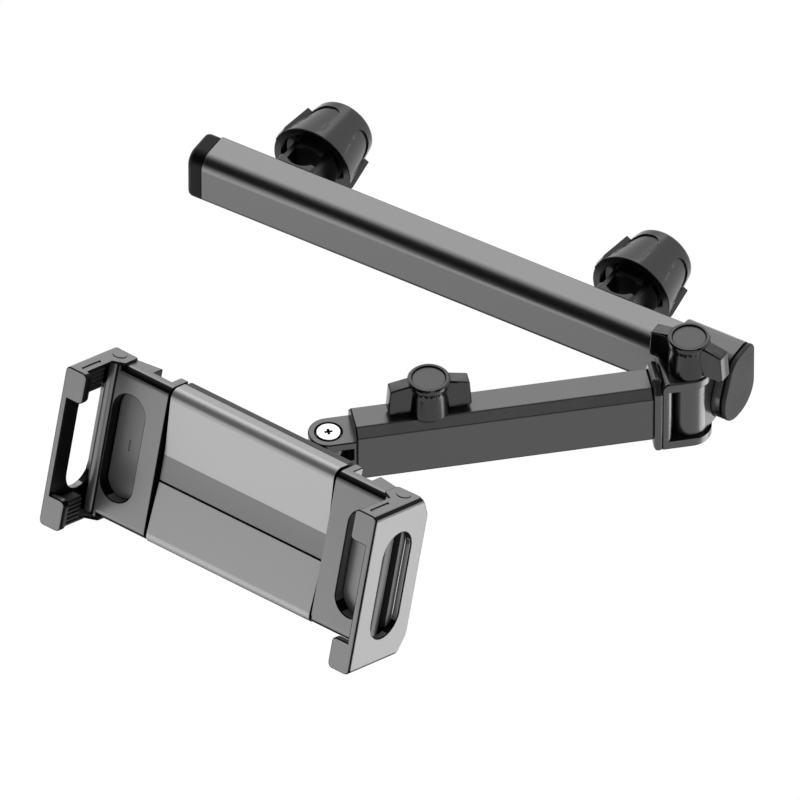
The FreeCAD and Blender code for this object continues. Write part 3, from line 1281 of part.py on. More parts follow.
AT_ARM = along(HINGE_POINT, ARM_DIR, UP)
AT_LINK = along(SWIVEL_POINT, LINK_DIR, UP)
AT_BRACKET = along(HOLDER_POINT, LEVEL_DIR, OUT_DIR)
AT_HOLDER = along(HOLDER_POINT, ACROSS_DIR, OUT_DIR)


def placed(shape, place):
    moved = shape.copy()
    moved.Placement = place.multiply(moved.Placement)
    return moved


def build():
    """Every named piece, in its place."""
    nodes = {
        "crossbar_tube": crossbar_tube(),
        "left_end_cap": left_end_cap(),
        "end_housing": end_housing(),
        "housing_end_cap": housing_end_cap(),
        "housing_screws": housing_screws(),
        "knuckle_bush": knuckle_bush(),
    }
    clamp = {
        "carriage": carriage(),
        "post_liner": post_liner(),
        "thrust_block": thrust_block(),
        "thrust_pad": thrust_pad(),
        "clamp_nut": clamp_nut(),
    }
    for side, x in (("left", 0.0), ("right", POST_SPACING)):
        for name, shape in clamp.items():
            nodes[f"{side}_{name}"] = shifted(shape, x, 0, 0)
    arm = {
        "hinge_clevis": hinge_clevis(),
        "clevis_screws": clevis_screws(),
        "arm_tube": arm_tube(),
        "mouth_blocks": mouth_blocks(),
        "lock_nut_plate": lock_nut_plate(),
        "lock_shoe": lock_shoe(),
        "hinge_bolt": hinge_bolt(),
        "hinge_washer": hinge_washer(),
        "lock_knob": shifted(wing_knob(ARM_TOP + SLIDING, INSERT_R, False), LOCK_AT, 0, 0),
        "lock_knob_disc": shifted(knob_disc(ARM_TOP + SLIDING), LOCK_AT, 0, 0),
        "lock_stud": lock_stud(),
        "slider_fork": slider_fork(),
        "pivot_screw": pivot_screw(),
        "pivot_nut": pivot_nut(),
    }
    for name, shape in arm.items():
        nodes[name] = placed(shape, AT_ARM)
    nodes["hinge_knob"] = shifted(wing_knob(EAR_TOP + RUNNING, INSERT_R, True), HINGE_X, HINGE_Y, 0)
    nodes["hinge_knob_disc"] = shifted(knob_disc(EAR_TOP + RUNNING), HINGE_X, HINGE_Y, 0)
    nodes["hinge_knob_insert"] = shifted(hinge_knob_insert(), HINGE_X, HINGE_Y, 0)
    link = {"swivel_link": swivel_link(), "tilt_pin": tilt_pin(), "tilt_nut": tilt_nut()}
    for name, shape in link.items():
        nodes[name] = placed(shape, AT_LINK)
    bracket = {"tilt_bracket": tilt_bracket(), "spin_retainer": spin_retainer(),
               "spin_screws": spin_screws()}
    for name, shape in bracket.items():
        nodes[name] = placed(shape, AT_BRACKET)
    holder = {"front_cover": front_cover(), "back_cover": back_cover(),
              "cover_screws": cover_screws(), "left_spring": spring(-1), "right_spring": spring(1)}
    for name, shape in holder.items():
        nodes[name] = placed(shape, AT_HOLDER)
    grip = {"end_block": finished_block(), "guide_rods": guide_rods(), "block_pad": block_pad(),
            "jaw": jaw(), "jaw_pins": jaw_pins(), "jaw_pads": jaw_pads()}
    for name, shape in grip.items():
        nodes[f"right_{name}"] = placed(shape, AT_HOLDER)
        nodes[f"left_{name}"] = placed(turned_over(shape), AT_HOLDER)
    return nodes


def turned_over(shape):
    """The left side is the right side turned half round on the plate."""
    return shape.rotated(ORIGIN, UP, 180)


def main():
    os.makedirs("parts", exist_ok=True)
    for name, shape in build().items():
        shape.exportStep(f"parts/{name}.step")
    print("hinge", HINGE_POINT, "swivel", SWIVEL_POINT, "tilt", TILT_POINT, "holder", HOLDER_POINT)
    print("arm", ARM_DIR, "link", LINK_DIR, "level", LEVEL_DIR, "out", OUT_DIR, "across", ACROSS_DIR)


main()
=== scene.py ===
# %% [markdown]
# # A tablet mount for a car seat's headrest posts
#
# The object is a satin aluminium rail that clamps to two headrest posts, a folding arm in black
# moulded plastic, and a tilting holder with two spring-loaded jaws. The engineering model gives
# every piece its size and place. This lesson gives the pieces their rounded edges and finishes,
# in the same coordinates, so nothing needs to be fitted afterwards.

# %% Load the frame
import json
import math
import bmesh
import bpy
from mathutils import Matrix, Vector


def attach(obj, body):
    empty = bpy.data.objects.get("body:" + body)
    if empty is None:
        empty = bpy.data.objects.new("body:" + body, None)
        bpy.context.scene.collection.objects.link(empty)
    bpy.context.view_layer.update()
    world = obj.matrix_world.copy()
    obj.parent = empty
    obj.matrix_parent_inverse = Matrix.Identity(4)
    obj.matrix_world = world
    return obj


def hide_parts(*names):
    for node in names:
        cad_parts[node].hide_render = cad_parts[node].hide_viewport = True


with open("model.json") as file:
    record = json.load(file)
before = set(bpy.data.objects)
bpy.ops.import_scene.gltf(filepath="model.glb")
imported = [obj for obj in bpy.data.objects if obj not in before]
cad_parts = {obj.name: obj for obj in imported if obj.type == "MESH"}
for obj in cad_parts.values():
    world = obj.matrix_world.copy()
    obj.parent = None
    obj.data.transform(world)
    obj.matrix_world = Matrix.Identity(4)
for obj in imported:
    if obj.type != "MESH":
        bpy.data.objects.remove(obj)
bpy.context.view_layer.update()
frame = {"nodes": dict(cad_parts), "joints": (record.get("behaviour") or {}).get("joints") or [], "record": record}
MM = 0.001

# %% [markdown]
# ## Places read from the joints
#
# The holder stands at an odd angle to the rail. The band of painted shade across its cover and
# the faces painted black for shade and reflection are found along its own axes, and the pivot
# screw's cross, painted black as painted shade, lies round the swivel. The joints of the model
# already say where both are.

# %% The holder's axes and the swivel
joint = {row["name"]: row for row in frame["joints"]}


def axes_at(origin, first, third):
    """A matrix whose X points along first and whose Z points along third."""
    x, z = Vector(first).normalized(), Vector(third).normalized()
    y = z.cross(x)
    turn = Matrix((x, y, z)).transposed().to_4x4()
    return Matrix.Translation(Vector(origin)) @ turn


swivel_point = Vector(joint["holder_swivel"]["pos_m"])
AT_HOLDER = axes_at(joint["holder_spin"]["pos_m"], joint["right_grip_slide"]["axis"],
                    joint["holder_spin"]["axis"])
print("holder at", [round(value, 4) for value in AT_HOLDER.translation])

# %% [markdown]
# ## The camera
#
# The photograph shows the mount from the front right and from above, with almost no
# perspective: parallel edges stay parallel. A very long lens, far away, gives that view. The
# camera is aimed by one point of the object, the mouth of the left nut, and by where that point
# lies in the picture. The plane that keeps its size in the picture lies before that mouth, about
# halfway to the holder.

# %% Camera
AZIMUTH, ELEVATION = math.radians(30.7), math.radians(43.0)
PICTURE_WIDTH = 0.336
LENS, SENSOR = 1600.0, 36.0
NUT_MOUTH_FROM_CENTRE = (-37.1 * MM, 99.2 * MM)
NUT_MOUTH_BACK = 6.7 * MM
MIDDLE_BEFORE_MOUTH = 60 * MM
CAMERA_REACH = 100.0

view_right = Vector((math.cos(AZIMUTH), math.sin(AZIMUTH), 0))
view_back = Vector((math.sin(AZIMUTH) * math.cos(ELEVATION), -math.cos(AZIMUTH) * math.cos(ELEVATION),
                    math.sin(ELEVATION)))
view_up = view_back.cross(view_right)
nut_mouth = Vector((0, NUT_MOUTH_BACK, 0))
aim = nut_mouth - view_right * NUT_MOUTH_FROM_CENTRE[0] - view_up * NUT_MOUTH_FROM_CENTRE[1]
aim += view_back * MIDDLE_BEFORE_MOUTH
distance = PICTURE_WIDTH * LENS / SENSOR

camera_data = bpy.data.cameras.new("camera")
camera_data.lens, camera_data.sensor_width = LENS, SENSOR
camera_data.clip_end = CAMERA_REACH
camera = bpy.data.objects.new("camera", camera_data)
camera.location = aim + view_back * distance
camera.rotation_mode = "QUATERNION"
camera.rotation_quaternion = (-view_back).to_track_quat("-Z", "Y")
bpy.context.scene.collection.objects.link(camera)
bpy.context.scene.camera = camera
bpy.context.scene.view_settings.view_transform = "Standard"
print("camera distance", round(distance, 2), "m, aimed at", [round(value, 4) for value in aim])

# %% [markdown]
# ## Shader maths in plain Python
#
# A procedural finish is arithmetic on coordinates and noise. Wiring each Math node by hand
# hides that, so a small class wraps a socket and lets Python's operators add the nodes.

# %% Shader expressions
MIX_FACTOR, MIX_FIRST, MIX_SECOND, MIX_COLOUR = 0, 6, 7, 2
SCREEN_KNEE, SCREEN_SLOPE = 0.04045, 12.92
SCREEN_OFFSET, SCREEN_POWER = 0.055, 2.4


class Value:
    """A number socket of one material, with Python's operators."""

    def __init__(self, finish, socket):
        self.finish, self.socket = finish, socket

    def math(self, operation, *others):
        made = self.finish.node("ShaderNodeMath", {"operation": operation},
                                dict(enumerate((self, *others))))
        return Value(self.finish, made.outputs[0])

    def __add__(self, other):
        return self.math("ADD", other)

    def __sub__(self, other):
        return self.math("SUBTRACT", other)

    def __mul__(self, other):
        return self.math("MULTIPLY", other)

    def __truediv__(self, other):
        return self.math("DIVIDE", other)

    __radd__, __rmul__ = __add__, __mul__

    def __rsub__(self, other):
        return (self * -1) + other

    def clamped(self):
        return self.math("MAXIMUM", 0.0).math("MINIMUM", 1.0)

    def above(self, edge, soft):
        """0 below the edge, 1 above it, with a soft step."""
        return ((self - edge) / soft + 0.5).clamped()


class Finish:
    """One material with a Principled shader, and the means to add nodes to it."""

    def __init__(self, name, colour, roughness, metallic=0.0, **settings):
        self.material = bpy.data.materials.new(name)
        self.material.use_nodes = True
        self.tree = self.material.node_tree
        self.shader = self.tree.nodes["Principled BSDF"]
        self.set("Base Color", (*colour, 1.0))
        self.set("Roughness", roughness)
        self.set("Metallic", metallic)
        for socket, value in settings.items():
            self.set(socket.replace("_", " "), value)
        coordinates = self.node("ShaderNodeTexCoord", {}, {})
        self.place = coordinates.outputs["Object"]

    def set(self, socket, value):
        self.feed(self.shader.inputs[socket], value)

    def feed(self, socket, value):
        if isinstance(value, Value):
            self.tree.links.new(value.socket, socket)
        elif isinstance(value, bpy.types.NodeSocket):
            self.tree.links.new(value, socket)
        else:
            socket.default_value = value

    def node(self, kind, settings, sockets):
        made = self.tree.nodes.new(kind)
        for name, value in settings.items():
            setattr(made, name, value)
        for key, value in sockets.items():
            self.feed(made.inputs[key], value)
        return made

    def noise(self, scale, detail=2.0, roughness=0.5, place=None):
        made = self.node("ShaderNodeTexNoise", {}, {"Vector": place or self.place, "Scale": scale,
                                                    "Detail": detail, "Roughness": roughness})
        return Value(self, made.outputs["Fac"])

    def stretched(self, scale):
        """The place, scaled apart along X, Y and Z, for streaks and brushing."""
        made = self.node("ShaderNodeMapping", {}, {"Vector": self.place, "Scale": scale})
        return made.outputs["Vector"]

    def blend(self, factor, first, second):
        made = self.node("ShaderNodeMix", {"data_type": "RGBA"}, {})
        for key, value in zip((MIX_FACTOR, MIX_FIRST, MIX_SECOND), (factor, first, second)):
            self.feed(made.inputs[key], value)
        return made.outputs[MIX_COLOUR]

    def bump(self, height, depth, strength=1.0):
        made = self.node("ShaderNodeBump", {}, {"Height": height, "Distance": depth, "Strength": strength})
        self.set("Normal", made.outputs["Normal"])


def grey(level):
    """The colour of a grey level of 0 to 255 as a screen shows it."""
    share = level / 255
    if share <= SCREEN_KNEE:
        linear = share / SCREEN_SLOPE
    else:
        linear = ((share + SCREEN_OFFSET) / (1 + SCREEN_OFFSET)) ** SCREEN_POWER
    return (linear, linear, linear)


def shades(level, darker, lighter):
    """Two colours round a grey level, each a share of its linear light."""
    return [tuple(c * share for c in grey(level)) + (1.0,) for share in (darker, lighter)]


print("a middle grey of 128 is", round(grey(128)[0], 3), "in linear light")

# %% [markdown]
# ## A plain studio
#
# The mount hangs in the air on its posts, so the floor lies far below it. White comes from what
# the camera sees of the floor and the world, not from more light on the object. The room itself
# lights the object evenly, at a plain grey level.

# %% Floor and world
FLOOR_BELOW, FLOOR_HALF = 0.9, 12.0
FLOOR_COLOUR = (0.5, 0.5, 0.5, 1)
WHITE = (1, 1, 1, 1)
ROOM_LEVEL = 0.42


def seen_white(tree, lit):
    """White where the camera, a mirror or glass looks at it, and the lit shader for all other rays."""
    path = tree.nodes.new("ShaderNodeLightPath")
    white = tree.nodes.new("ShaderNodeEmission" if lit.type == "BSDF_DIFFUSE" else "ShaderNodeBackground")
    mix = tree.nodes.new("ShaderNodeMixShader")
    seen = path.outputs["Is Camera Ray"]
    for ray in ("Is Glossy Ray", "Is Transmission Ray"):
        either = tree.nodes.new("ShaderNodeMath")
        either.operation = "MAXIMUM"
        tree.links.new(seen, either.inputs[0])
        tree.links.new(path.outputs[ray], either.inputs[1])
        seen = either.outputs[0]
    tree.links.new(seen, mix.inputs[0])
    tree.links.new(lit.outputs[0], mix.inputs[1])
    tree.links.new(white.outputs[0], mix.inputs[2])
    white.inputs["Color"].default_value = WHITE
    white.inputs["Strength"].default_value = 1.0
    return mix


world = bpy.data.worlds.new("studio")
bpy.context.scene.world = world
world.use_nodes = True
room = world.node_tree.nodes["Background"]
room.inputs["Color"].default_value = WHITE
room.inputs["Strength"].default_value = ROOM_LEVEL
world.node_tree.links.new(seen_white(world.node_tree, room).outputs[0],
                          world.node_tree.nodes["World Output"].inputs["Surface"])

bm = bmesh.new()
bmesh.ops.create_grid(bm, x_segments=1, y_segments=1, size=FLOOR_HALF)
bmesh.ops.translate(bm, verts=bm.verts, vec=(0, 0, -FLOOR_BELOW))
floor_mesh = bpy.data.meshes.new("floor")
bm.to_mesh(floor_mesh)
bm.free()
floor = bpy.data.objects.new("floor", floor_mesh)
bpy.context.scene.collection.objects.link(floor)
floor_material = bpy.data.materials.new("floor")
floor_material.use_nodes = True
floor_tree = floor_material.node_tree
floor_tree.nodes.remove(floor_tree.nodes["Principled BSDF"])
floor_diffuse = floor_tree.nodes.new("ShaderNodeBsdfDiffuse")
floor_diffuse.inputs["Color"].default_value = FLOOR_COLOUR
floor_tree.links.new(seen_white(floor_tree, floor_diffuse).outputs[0],
                     floor_tree.nodes["Material Output"].inputs["Surface"])
floor_mesh.materials.append(floor_material)
print("floor", FLOOR_BELOW, "m below, room level", ROOM_LEVEL)

# %% [markdown]
# ## Soft panels
#
# Gloss needs something to mirror: a few large soft panels give the bright streaks that make
# black plastic readable. One stands behind and above for the rail's and the arm's tops, one low
# on the right for the sides of the jaws, a small one for the arm's chamfer and one low in front
# for the walls that face the camera.

# %% Lamps
STUDIO_CENTRE = Vector((0.09, -0.09, 0.0))


def panel(name, azimuth, elevation, away, wide, tall, power):
    """A soft panel, placed by the direction that it shines from."""
    a, e = math.radians(azimuth), math.radians(elevation)
    back = Vector((math.sin(a) * math.cos(e), -math.cos(a) * math.cos(e), math.sin(e)))
    data = bpy.data.lights.new(name, "AREA")
    data.shape, data.size, data.size_y, data.energy = "RECTANGLE", wide, tall, power
    lamp = bpy.data.objects.new(name, data)
    lamp.location = STUDIO_CENTRE + back * away
    lamp.rotation_mode = "QUATERNION"
    lamp.rotation_quaternion = (-back).to_track_quat("-Z", "Y")
    lamp.visible_camera = False
    bpy.context.scene.collection.objects.link(lamp)


panel("back_top", azimuth=210.7, elevation=43, away=1.2, wide=1.0, tall=0.8, power=2.9)
panel("right_low", azimuth=119, elevation=-36, away=1.1, wide=0.6, tall=0.55, power=2.3)
panel("chamfer_strip", azimuth=53, elevation=46, away=1.2, wide=0.35, tall=0.25, power=0.35)
panel("front_low", azimuth=-30, elevation=-20, away=1.3, wide=0.9, tall=0.5, power=1.5)

# %% [markdown]
# ## Black cards
#
# Metal on a white ground needs dark edges to be read at all, so a product photographer hangs
# black cards where the rounded edges look. These two are seen by gloss alone: one large curved
# card above and in front, and one flat card below. They cast no shadow and light nothing.

# %% Two black cards that only gloss sees
CARD_AWAY = 1.5
CARD_SIDES = (-85, 100)
CARD_HEIGHTS = (10, 90)
CARD_BELOW, CARD_BELOW_R = 0.82, 0.50
CARD_AROUND, CARD_RINGS, CARD_BELOW_SIDES = 72, 36, 48
CARD_GLOW = 0.012


def hang_card(name, bm):
    """Finish a card from a bmesh: dark, and seen only in reflections."""
    mesh = bpy.data.meshes.new(name)
    bm.to_mesh(mesh)
    bm.free()
    card = bpy.data.objects.new(name, mesh)
    bpy.context.scene.collection.objects.link(card)
    dark = bpy.data.materials.new(name)
    dark.use_nodes = True
    dark.node_tree.nodes.remove(dark.node_tree.nodes["Principled BSDF"])
    glow = dark.node_tree.nodes.new("ShaderNodeEmission")
    glow.inputs["Color"].default_value = WHITE
    glow.inputs["Strength"].default_value = CARD_GLOW
    dark.node_tree.links.new(glow.outputs[0], dark.node_tree.nodes["Material Output"].inputs["Surface"])
    mesh.materials.append(dark)
    for ray in ("camera", "diffuse", "transmission", "volume_scatter", "shadow"):
        setattr(card, f"visible_{ray}", False)


bm = bmesh.new()
bmesh.ops.create_uvsphere(bm, u_segments=CARD_AROUND, v_segments=CARD_RINGS, radius=CARD_AWAY)
outside = []
for face in bm.faces:
    middle = face.calc_center_median()
    around = math.degrees(math.atan2(middle.x, -middle.y))
    height = math.degrees(math.asin(middle.z / middle.length))
    if not (CARD_SIDES[0] < around < CARD_SIDES[1] and CARD_HEIGHTS[0] < height < CARD_HEIGHTS[1]):
        outside.append(face)
bmesh.ops.delete(bm, geom=outside, context="FACES")
bmesh.ops.translate(bm, verts=bm.verts, vec=STUDIO_CENTRE)
hang_card("card_above", bm)

bm = bmesh.new()
bmesh.ops.create_circle(bm, cap_ends=True, segments=CARD_BELOW_SIDES, radius=CARD_BELOW_R)
bmesh.ops.translate(bm, verts=bm.verts, vec=STUDIO_CENTRE - Vector((0, 0, CARD_BELOW)))
hang_card("card_below", bm)
print("cards above", CARD_HEIGHTS, "degrees and below at", CARD_BELOW, "m")

# %% [markdown]
# ## Finishes
#
# Moulded plastic is never one flat colour: it has a fine grain and small changes of gloss where
# hands touch it. Each finish below starts from the grey that the real surface
# shows and adds that detail at its real size, a few tenths of a millimetre for grain and some
# centimetres for handling marks.

# %% Moulded plastics and rubber
MARKS = {"scale": 55.0, "detail": 3.0, "roughness": 0.55}
GRAIN = {"scale": 2600.0, "detail": 2.0, "roughness": 0.6}
PLASTIC_SHADES = (0.86, 1.14)
MARKS_GLOSS, GRAIN_GLOSS = 0.16, 0.10
GRAIN_DEPTH = 0.03 * MM


def moulded(name, level, roughness, grain=0.25, **settings):
    """Plastic with a spark-eroded grain, handling marks and slight changes of tone."""
    finish = Finish(name, grey(level), roughness, **settings)
    marks = finish.noise(**MARKS)
    fine = finish.noise(**GRAIN)
    finish.set("Base Color", finish.blend(marks, *shades(level, *PLASTIC_SHADES)))
    finish.set("Roughness", (marks - 0.5) * MARKS_GLOSS + roughness + (fine - 0.5) * GRAIN_GLOSS)
    finish.bump(fine, GRAIN_DEPTH, grain)
    return finish.material


black_plastic = moulded("black_plastic", 26, 0.30, Coat_Weight=1.0, Coat_Roughness=0.22)
deep_black_plastic = moulded("deep_black_plastic", 14, 0.34)
gloss_plastic = moulded("gloss_plastic", 10, 0.20, grain=0.05, Specular_IOR_Level=0.6)
disc_plastic = moulded("disc_plastic", 86, 0.34, grain=0.12)
cap_plastic = moulded("cap_plastic", 8, 0.40, Specular_IOR_Level=0.15)
end_plastic = moulded("end_plastic", 58, 0.55, Specular_IOR_Level=0.3)
# shadow_black is a painted black: painted shade on faces that nothing lights, and painted reflection of the dark
# room on bevels and rounds.
shadow_black = moulded("shadow_black", 6, 0.45, Specular_IOR_Level=0.12)
rubber = moulded("rubber", 26, 0.72, grain=0.5)
print("plastics:", black_plastic.name, gloss_plastic.name, disc_plastic.name, rubber.name)

# %% [markdown]
# ## Metals
#
# The rail is drawn aluminium with a satin anodised skin: its streaks run along the rail. Screws
# and rods are bright plated steel, and the holder's covers carry a metallic paint, which has a
# fine sparkle rather than streaks. A band across the front cover's middle is painted darker, as
# painted shade.

# %% Metals and paint
# The band across the cover is painted shade: a darker grey between these heights along the holder's up axis.
SHADED_BAND_LOW, SHADED_BAND_HIGH, SHADED_BAND_SOFT = -7.2 * MM, 5.0 * MM, 0.3 * MM
METAL_SHADES, METAL_GLOSS = (0.93, 1.05), 0.18
PAINT_SHADES, FLAKE_GLOSS = (0.92, 1.08), 0.2
FLAKE_SHARE, CLOUD_SHARE = 0.6, 0.4
FINE_DEPTH = 0.01 * MM


def painted_shade_band(finish):
    """1 in the band of painted shade across the cover's middle, with two sharp edges."""
    up = AT_HOLDER.to_3x3() @ Vector((0, 1, 0))
    dot = finish.node("ShaderNodeVectorMath", {"operation": "DOT_PRODUCT"}, {0: finish.place, 1: tuple(up)})
    height = Value(finish, dot.outputs["Value"]) - up.dot(AT_HOLDER.translation)
    return height.above(SHADED_BAND_LOW, SHADED_BAND_SOFT) * (1.0 - height.above(SHADED_BAND_HIGH, SHADED_BAND_SOFT))


def metal(name, level, roughness, streaks):
    """Metal whose roughness changes in streaks; the scale is small along the streaks."""
    finish = Finish(name, grey(level), roughness, metallic=1.0)
    lines = finish.noise(1.0, detail=4.0, roughness=0.6, place=finish.stretched(streaks))
    finish.set("Base Color", finish.blend(lines, *shades(level, *METAL_SHADES)))
    finish.set("Roughness", (lines - 0.5) * METAL_GLOSS + roughness)
    finish.bump(lines, FINE_DEPTH, strength=0.3)
    return finish.material


def flake_paint(name, level, roughness, shaded_band_level=None):
    """Paint with metal flakes: a fine sparkle in the gloss under a thin clear coat. Given a second grey, a band
    across the holder's cover is painted in it as painted shade.
    """
    finish = Finish(name, grey(level), roughness, metallic=0.55, Coat_Weight=0.15, Coat_Roughness=0.25)
    flakes = finish.noise(5200.0, detail=1.0)
    cloud = finish.noise(30.0)
    tone = flakes * FLAKE_SHARE + cloud * CLOUD_SHARE
    colour = finish.blend(tone, *shades(level, *PAINT_SHADES))
    # Painted shade: the band across the holder's cover takes the darker grey.
    if shaded_band_level:
        shaded_band_colour = finish.blend(tone, *shades(shaded_band_level, *PAINT_SHADES))
        colour = finish.blend(painted_shade_band(finish), colour, shaded_band_colour)
    finish.set("Base Color", colour)
    finish.set("Roughness", (flakes - 0.5) * FLAKE_GLOSS + roughness)
    finish.bump(flakes, FINE_DEPTH, strength=0.25)
    return finish.material


rail_metal = metal("rail_metal", 117, 0.34, streaks=(30.0, 2400.0, 2400.0))
steel = metal("steel", 215, 0.24, streaks=(900.0, 900.0, 900.0))
bronze = metal("bronze", 150, 0.35, streaks=(600.0, 600.0, 600.0))
# The front cover's paint, with its band of painted shade at grey 116.
cover_paint_with_shaded_band = flake_paint("cover_paint_with_shaded_band", 172, 0.36, shaded_band_level=116)
jaw_paint = flake_paint("jaw_paint", 132, 0.36)
print("metals:", rail_metal.name, steel.name, cover_paint_with_shaded_band.name, jaw_paint.name)

# %% [markdown]
# ## Edges
#
# A moulded or machined edge is never sharp: it has a radius of a few tenths of a millimetre, and
# that radius is what catches the light. A merged copy of the engineering mesh, with its flat
# faces joined up and its sharp edges bevelled, gives exactly that and keeps every hole and
# pocket where it is. One edge without room would narrow all the bevels of its piece, so such
# edges are left out.

# %% Copies with rounded edges
ROUND_EDGE = math.radians(32)
ROOM_PASSES, LEAST_ANGLE = 4, 0.01
NEAR_WIDTHS, FAR_WIDTHS = 1.2, 3.0
MERGE_WITHIN, FLAT_WITHIN = 0.005 * MM, math.radians(1.0)
BEVEL_SEGMENTS = 2
made_pieces = []
bodies = frame["record"]["behaviour"]["bodies"]
body_of_node = {node: body for body, group in bodies.items() for node in group}


def edges_with_room(edges, width):
    """Those edges whose bevel fits between the edges beside it, at both of their ends."""
    chosen = set(edges)
    for _ in range(ROOM_PASSES):
        tight = set()
        for edge in chosen:
            for face in edge.link_faces:
                for vertex in edge.verts:
                    beside = next(e for e in face.edges if e is not edge and vertex in e.verts)
                    along, across = (e.other_vert(vertex).co - vertex.co for e in (edge, beside))
                    corner = max(along.angle(across, math.pi), LEAST_ANGLE)
                    reach = width / (math.tan(corner / 2) if beside in chosen
                                     else max(math.sin(corner), LEAST_ANGLE))
                    if reach > min(max(beside.calc_length(), NEAR_WIDTHS * width), FAR_WIDTHS * width):
                        tight.add(edge)
        chosen -= tight
    return [edge for edge in edges if edge in chosen]


def rounded_copy(node, width, material, angle=ROUND_EDGE, dark=None):
    """A copy of a CAD node with bevelled edges, standing for that node.

    Given two materials, the bevels take the second, a painted black for dark reflection and shade, and so does
    each face for which dark is true.
    """
    two = isinstance(material, tuple)
    bm = bmesh.new()
    bm.from_mesh(frame["nodes"][node].data)
    bmesh.ops.remove_doubles(bm, verts=bm.verts, dist=MERGE_WITHIN)
    bmesh.ops.dissolve_limit(bm, angle_limit=FLAT_WITHIN, verts=bm.verts, edges=bm.edges)
    sharp = [e for e in bm.edges if e.is_manifold and e.calc_face_angle(0.0) > angle]
    bevels = set()
    if width:
        bevels.update(bmesh.ops.bevel(bm, geom=edges_with_room(sharp, width * MM), offset=width * MM,
                                      segments=BEVEL_SEGMENTS, profile=0.5, affect="EDGES",
                                      clamp_overlap=False, material=-1)["faces"])
    for face in bm.faces:
        face.smooth = True
        # Bevels, and the faces that dark picks out, take the second material, the painted black.
        face.material_index = int(two and (face in bevels or bool(dark and dark(face))))
    mesh = bpy.data.meshes.new(f"{node}_rounded")
    bm.to_mesh(mesh)
    bm.free()
    mesh.set_sharp_from_angle(angle=ROUND_EDGE)
    obj = bpy.data.objects.new(f"{node}_rounded", mesh)
    bpy.context.scene.collection.objects.link(obj)
    normals = obj.modifiers.new("normals", "WEIGHTED_NORMAL")
    normals.keep_sharp = True
    for each in material if two else (material,):
        mesh.materials.append(each)
    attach(obj, body_of_node[node])
    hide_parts(node)
    made_pieces.append(obj.name)


# %% [markdown]
# ## The pieces that keep their engineering shape
#
# Most pieces need only their edges rounded and their finish. The table gives each node the
# radius of its edges in millimetres: mouldings are softer than machined metal.

# %% Rounded copies of the plain pieces
plain_pieces = {
    "crossbar_tube": (0.35, rail_metal),
    "left_end_cap": (0.5, cap_plastic),
    "housing_end_cap": (0.4, end_plastic),
    "mouth_blocks": (0.2, deep_black_plastic),
    "swivel_link": (0.3, black_plastic),
    "tilt_bracket": (0.4, black_plastic),
    "back_cover": (0.4, deep_black_plastic),
    "hinge_knob_disc": (0.15, disc_plastic),
    "lock_knob_disc": (0.15, disc_plastic),
    "pivot_nut": (0.2, steel),
    "tilt_pin": (0.2, steel),
    "tilt_nut": (0.2, steel),
}
for side in ("left", "right"):
    plain_pieces.update({
        f"{side}_carriage": (0.3, deep_black_plastic),
        f"{side}_thrust_block": (0.3, deep_black_plastic),
        f"{side}_clamp_nut": (0.15, gloss_plastic),
        f"{side}_guide_rods": (0.0, steel),
        f"{side}_jaw_pads": (0.15, rubber),
        f"{side}_post_liner": (0.1, rubber),
        f"{side}_thrust_pad": (0.2, rubber),
    })
for node, (width, material) in plain_pieces.items():
    rounded_copy(node, width, material)
print(len(made_pieces), "plain pieces")

# %% [markdown]
# ## Pieces with painted dark edges
#
# On the moulded pieces the small radius between two faces mirrors the dark room, so it reads as a
# fine black line. The bevels of these pieces are painted black for it, a painted reflection. The
# same painted black goes on the rounds of the jaws and blocks as painted reflection, and as painted
# shade on faces that nothing lights: the jaws' inner walls, the ends where cover and blocks meet,
# and the cross in the pivot screw.

# %% Copies with painted dark edges
# The bevels of these pieces are painted black as painted reflection.
outlined_pieces = {
    "end_housing": (0.45, black_plastic),
    "hinge_clevis": (0.45, black_plastic),
    "arm_tube": (0.6, black_plastic),
    "slider_fork": (0.45, black_plastic),
}
for node, (width, material) in outlined_pieces.items():
    rounded_copy(node, width, (material, shadow_black))

KNOB_EDGE = math.radians(60)
# The knobs' bevels are painted black too, as painted reflection.
for node in ("hinge_knob", "lock_knob"):
    rounded_copy(node, 0.3, (gloss_plastic, shadow_black), angle=KNOB_EDGE)

holder_axes = [Vector(column) for column in AT_HOLDER.to_3x3().col]
right_of_holder = holder_axes[0]
FACING, ROUNDED = 0.8, 0.9


def looks_across(face):
    """True for the cover's two ends, which face the blocks."""
    return abs(face.normal.dot(right_of_holder)) > FACING


def on_a_round(face):
    """True for the middle of a rounded edge, whose normal is along no axis of the holder."""
    return all(abs(face.normal.dot(axis)) < ROUNDED for axis in holder_axes)


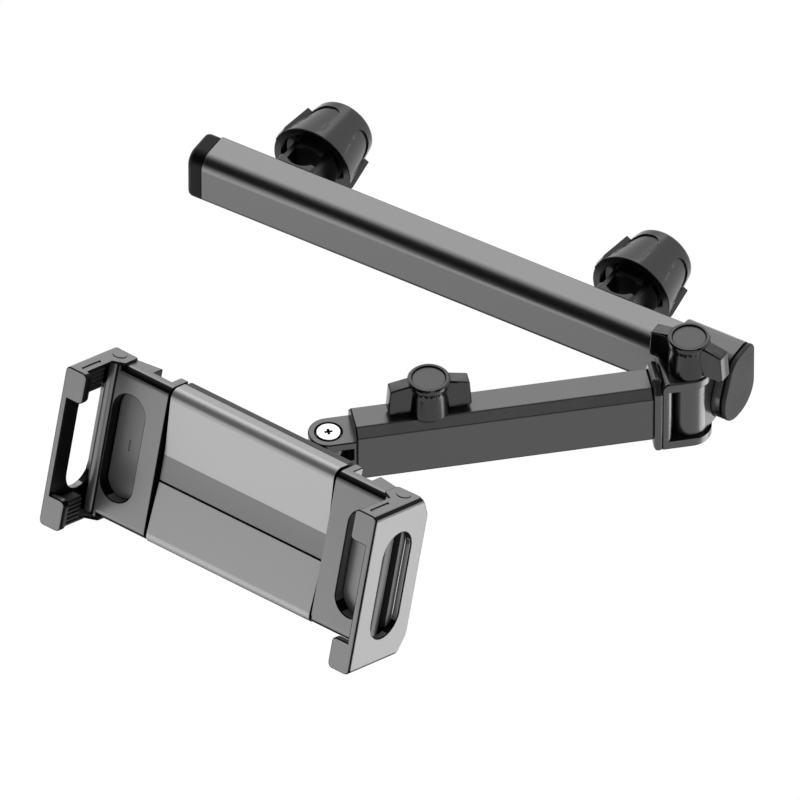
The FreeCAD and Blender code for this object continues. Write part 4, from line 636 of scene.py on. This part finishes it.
# The cover's ends that face the blocks take painted shade, and its bevels painted reflection.
rounded_copy("front_cover", 0.35, (cover_paint_with_shaded_band, shadow_black), dark=looks_across)
for side, inward in (("left", right_of_holder), ("right", -right_of_holder)):
    # Painted shade on the walls that face inward, painted reflection on the rounds.
    def takes_painted_black(face, inward=inward):
        return face.normal.dot(inward) > FACING or on_a_round(face)

    rounded_copy(f"{side}_end_block", 0.4, (jaw_paint, shadow_black), dark=takes_painted_black)
    rounded_copy(f"{side}_jaw", 0.5, (jaw_paint, shadow_black), dark=takes_painted_black)
    # The bevels of the pins and pads take painted black as painted reflection.
    rounded_copy(f"{side}_jaw_pins", 0.15, (jaw_paint, shadow_black))
    rounded_copy(f"{side}_block_pad", 0.1, (jaw_paint, shadow_black))

screw_top = max(vertex.co.z for vertex in frame["nodes"]["pivot_screw"].data.vertices)
CROSS_BELOW, CROSS_DEPTH, CROSS_REACH = 0.05 * MM, 3 * MM, 2.6 * MM


def in_the_cross(face):
    """True for the faces of the cross, which lie just below the screw's top, round the swivel."""
    middle = face.calc_center_median()
    reach = ((middle - swivel_point) * Vector((1, 1, 0))).length
    return CROSS_BELOW < screw_top - middle.z < CROSS_DEPTH and reach < CROSS_REACH


# The cross in the screw head is painted black as painted shade, and the bevels as painted reflection.
rounded_copy("pivot_screw", 0.08, (steel, shadow_black), dark=in_the_cross)
print(len(made_pieces), "rounded pieces")

# %% [markdown]
# ## Screws, springs and inner pieces
#
# These show only through gaps or from below. They stay exactly as the engineering model has
# them and take a metal or plastic finish.

# %% Finishes for the nodes that stay
kept_nodes = dict.fromkeys(
    ("housing_screws", "clevis_screws", "hinge_bolt", "hinge_washer", "lock_nut_plate", "lock_shoe",
     "lock_stud", "hinge_knob_insert", "spin_screws", "cover_screws", "left_spring", "right_spring"), steel)
kept_nodes.update({"knuckle_bush": bronze, "spin_retainer": black_plastic})
for node, material in kept_nodes.items():
    materials = frame["nodes"][node].data.materials
    materials.clear()
    materials.append(material)
print(len(kept_nodes), "nodes keep their CAD shape")
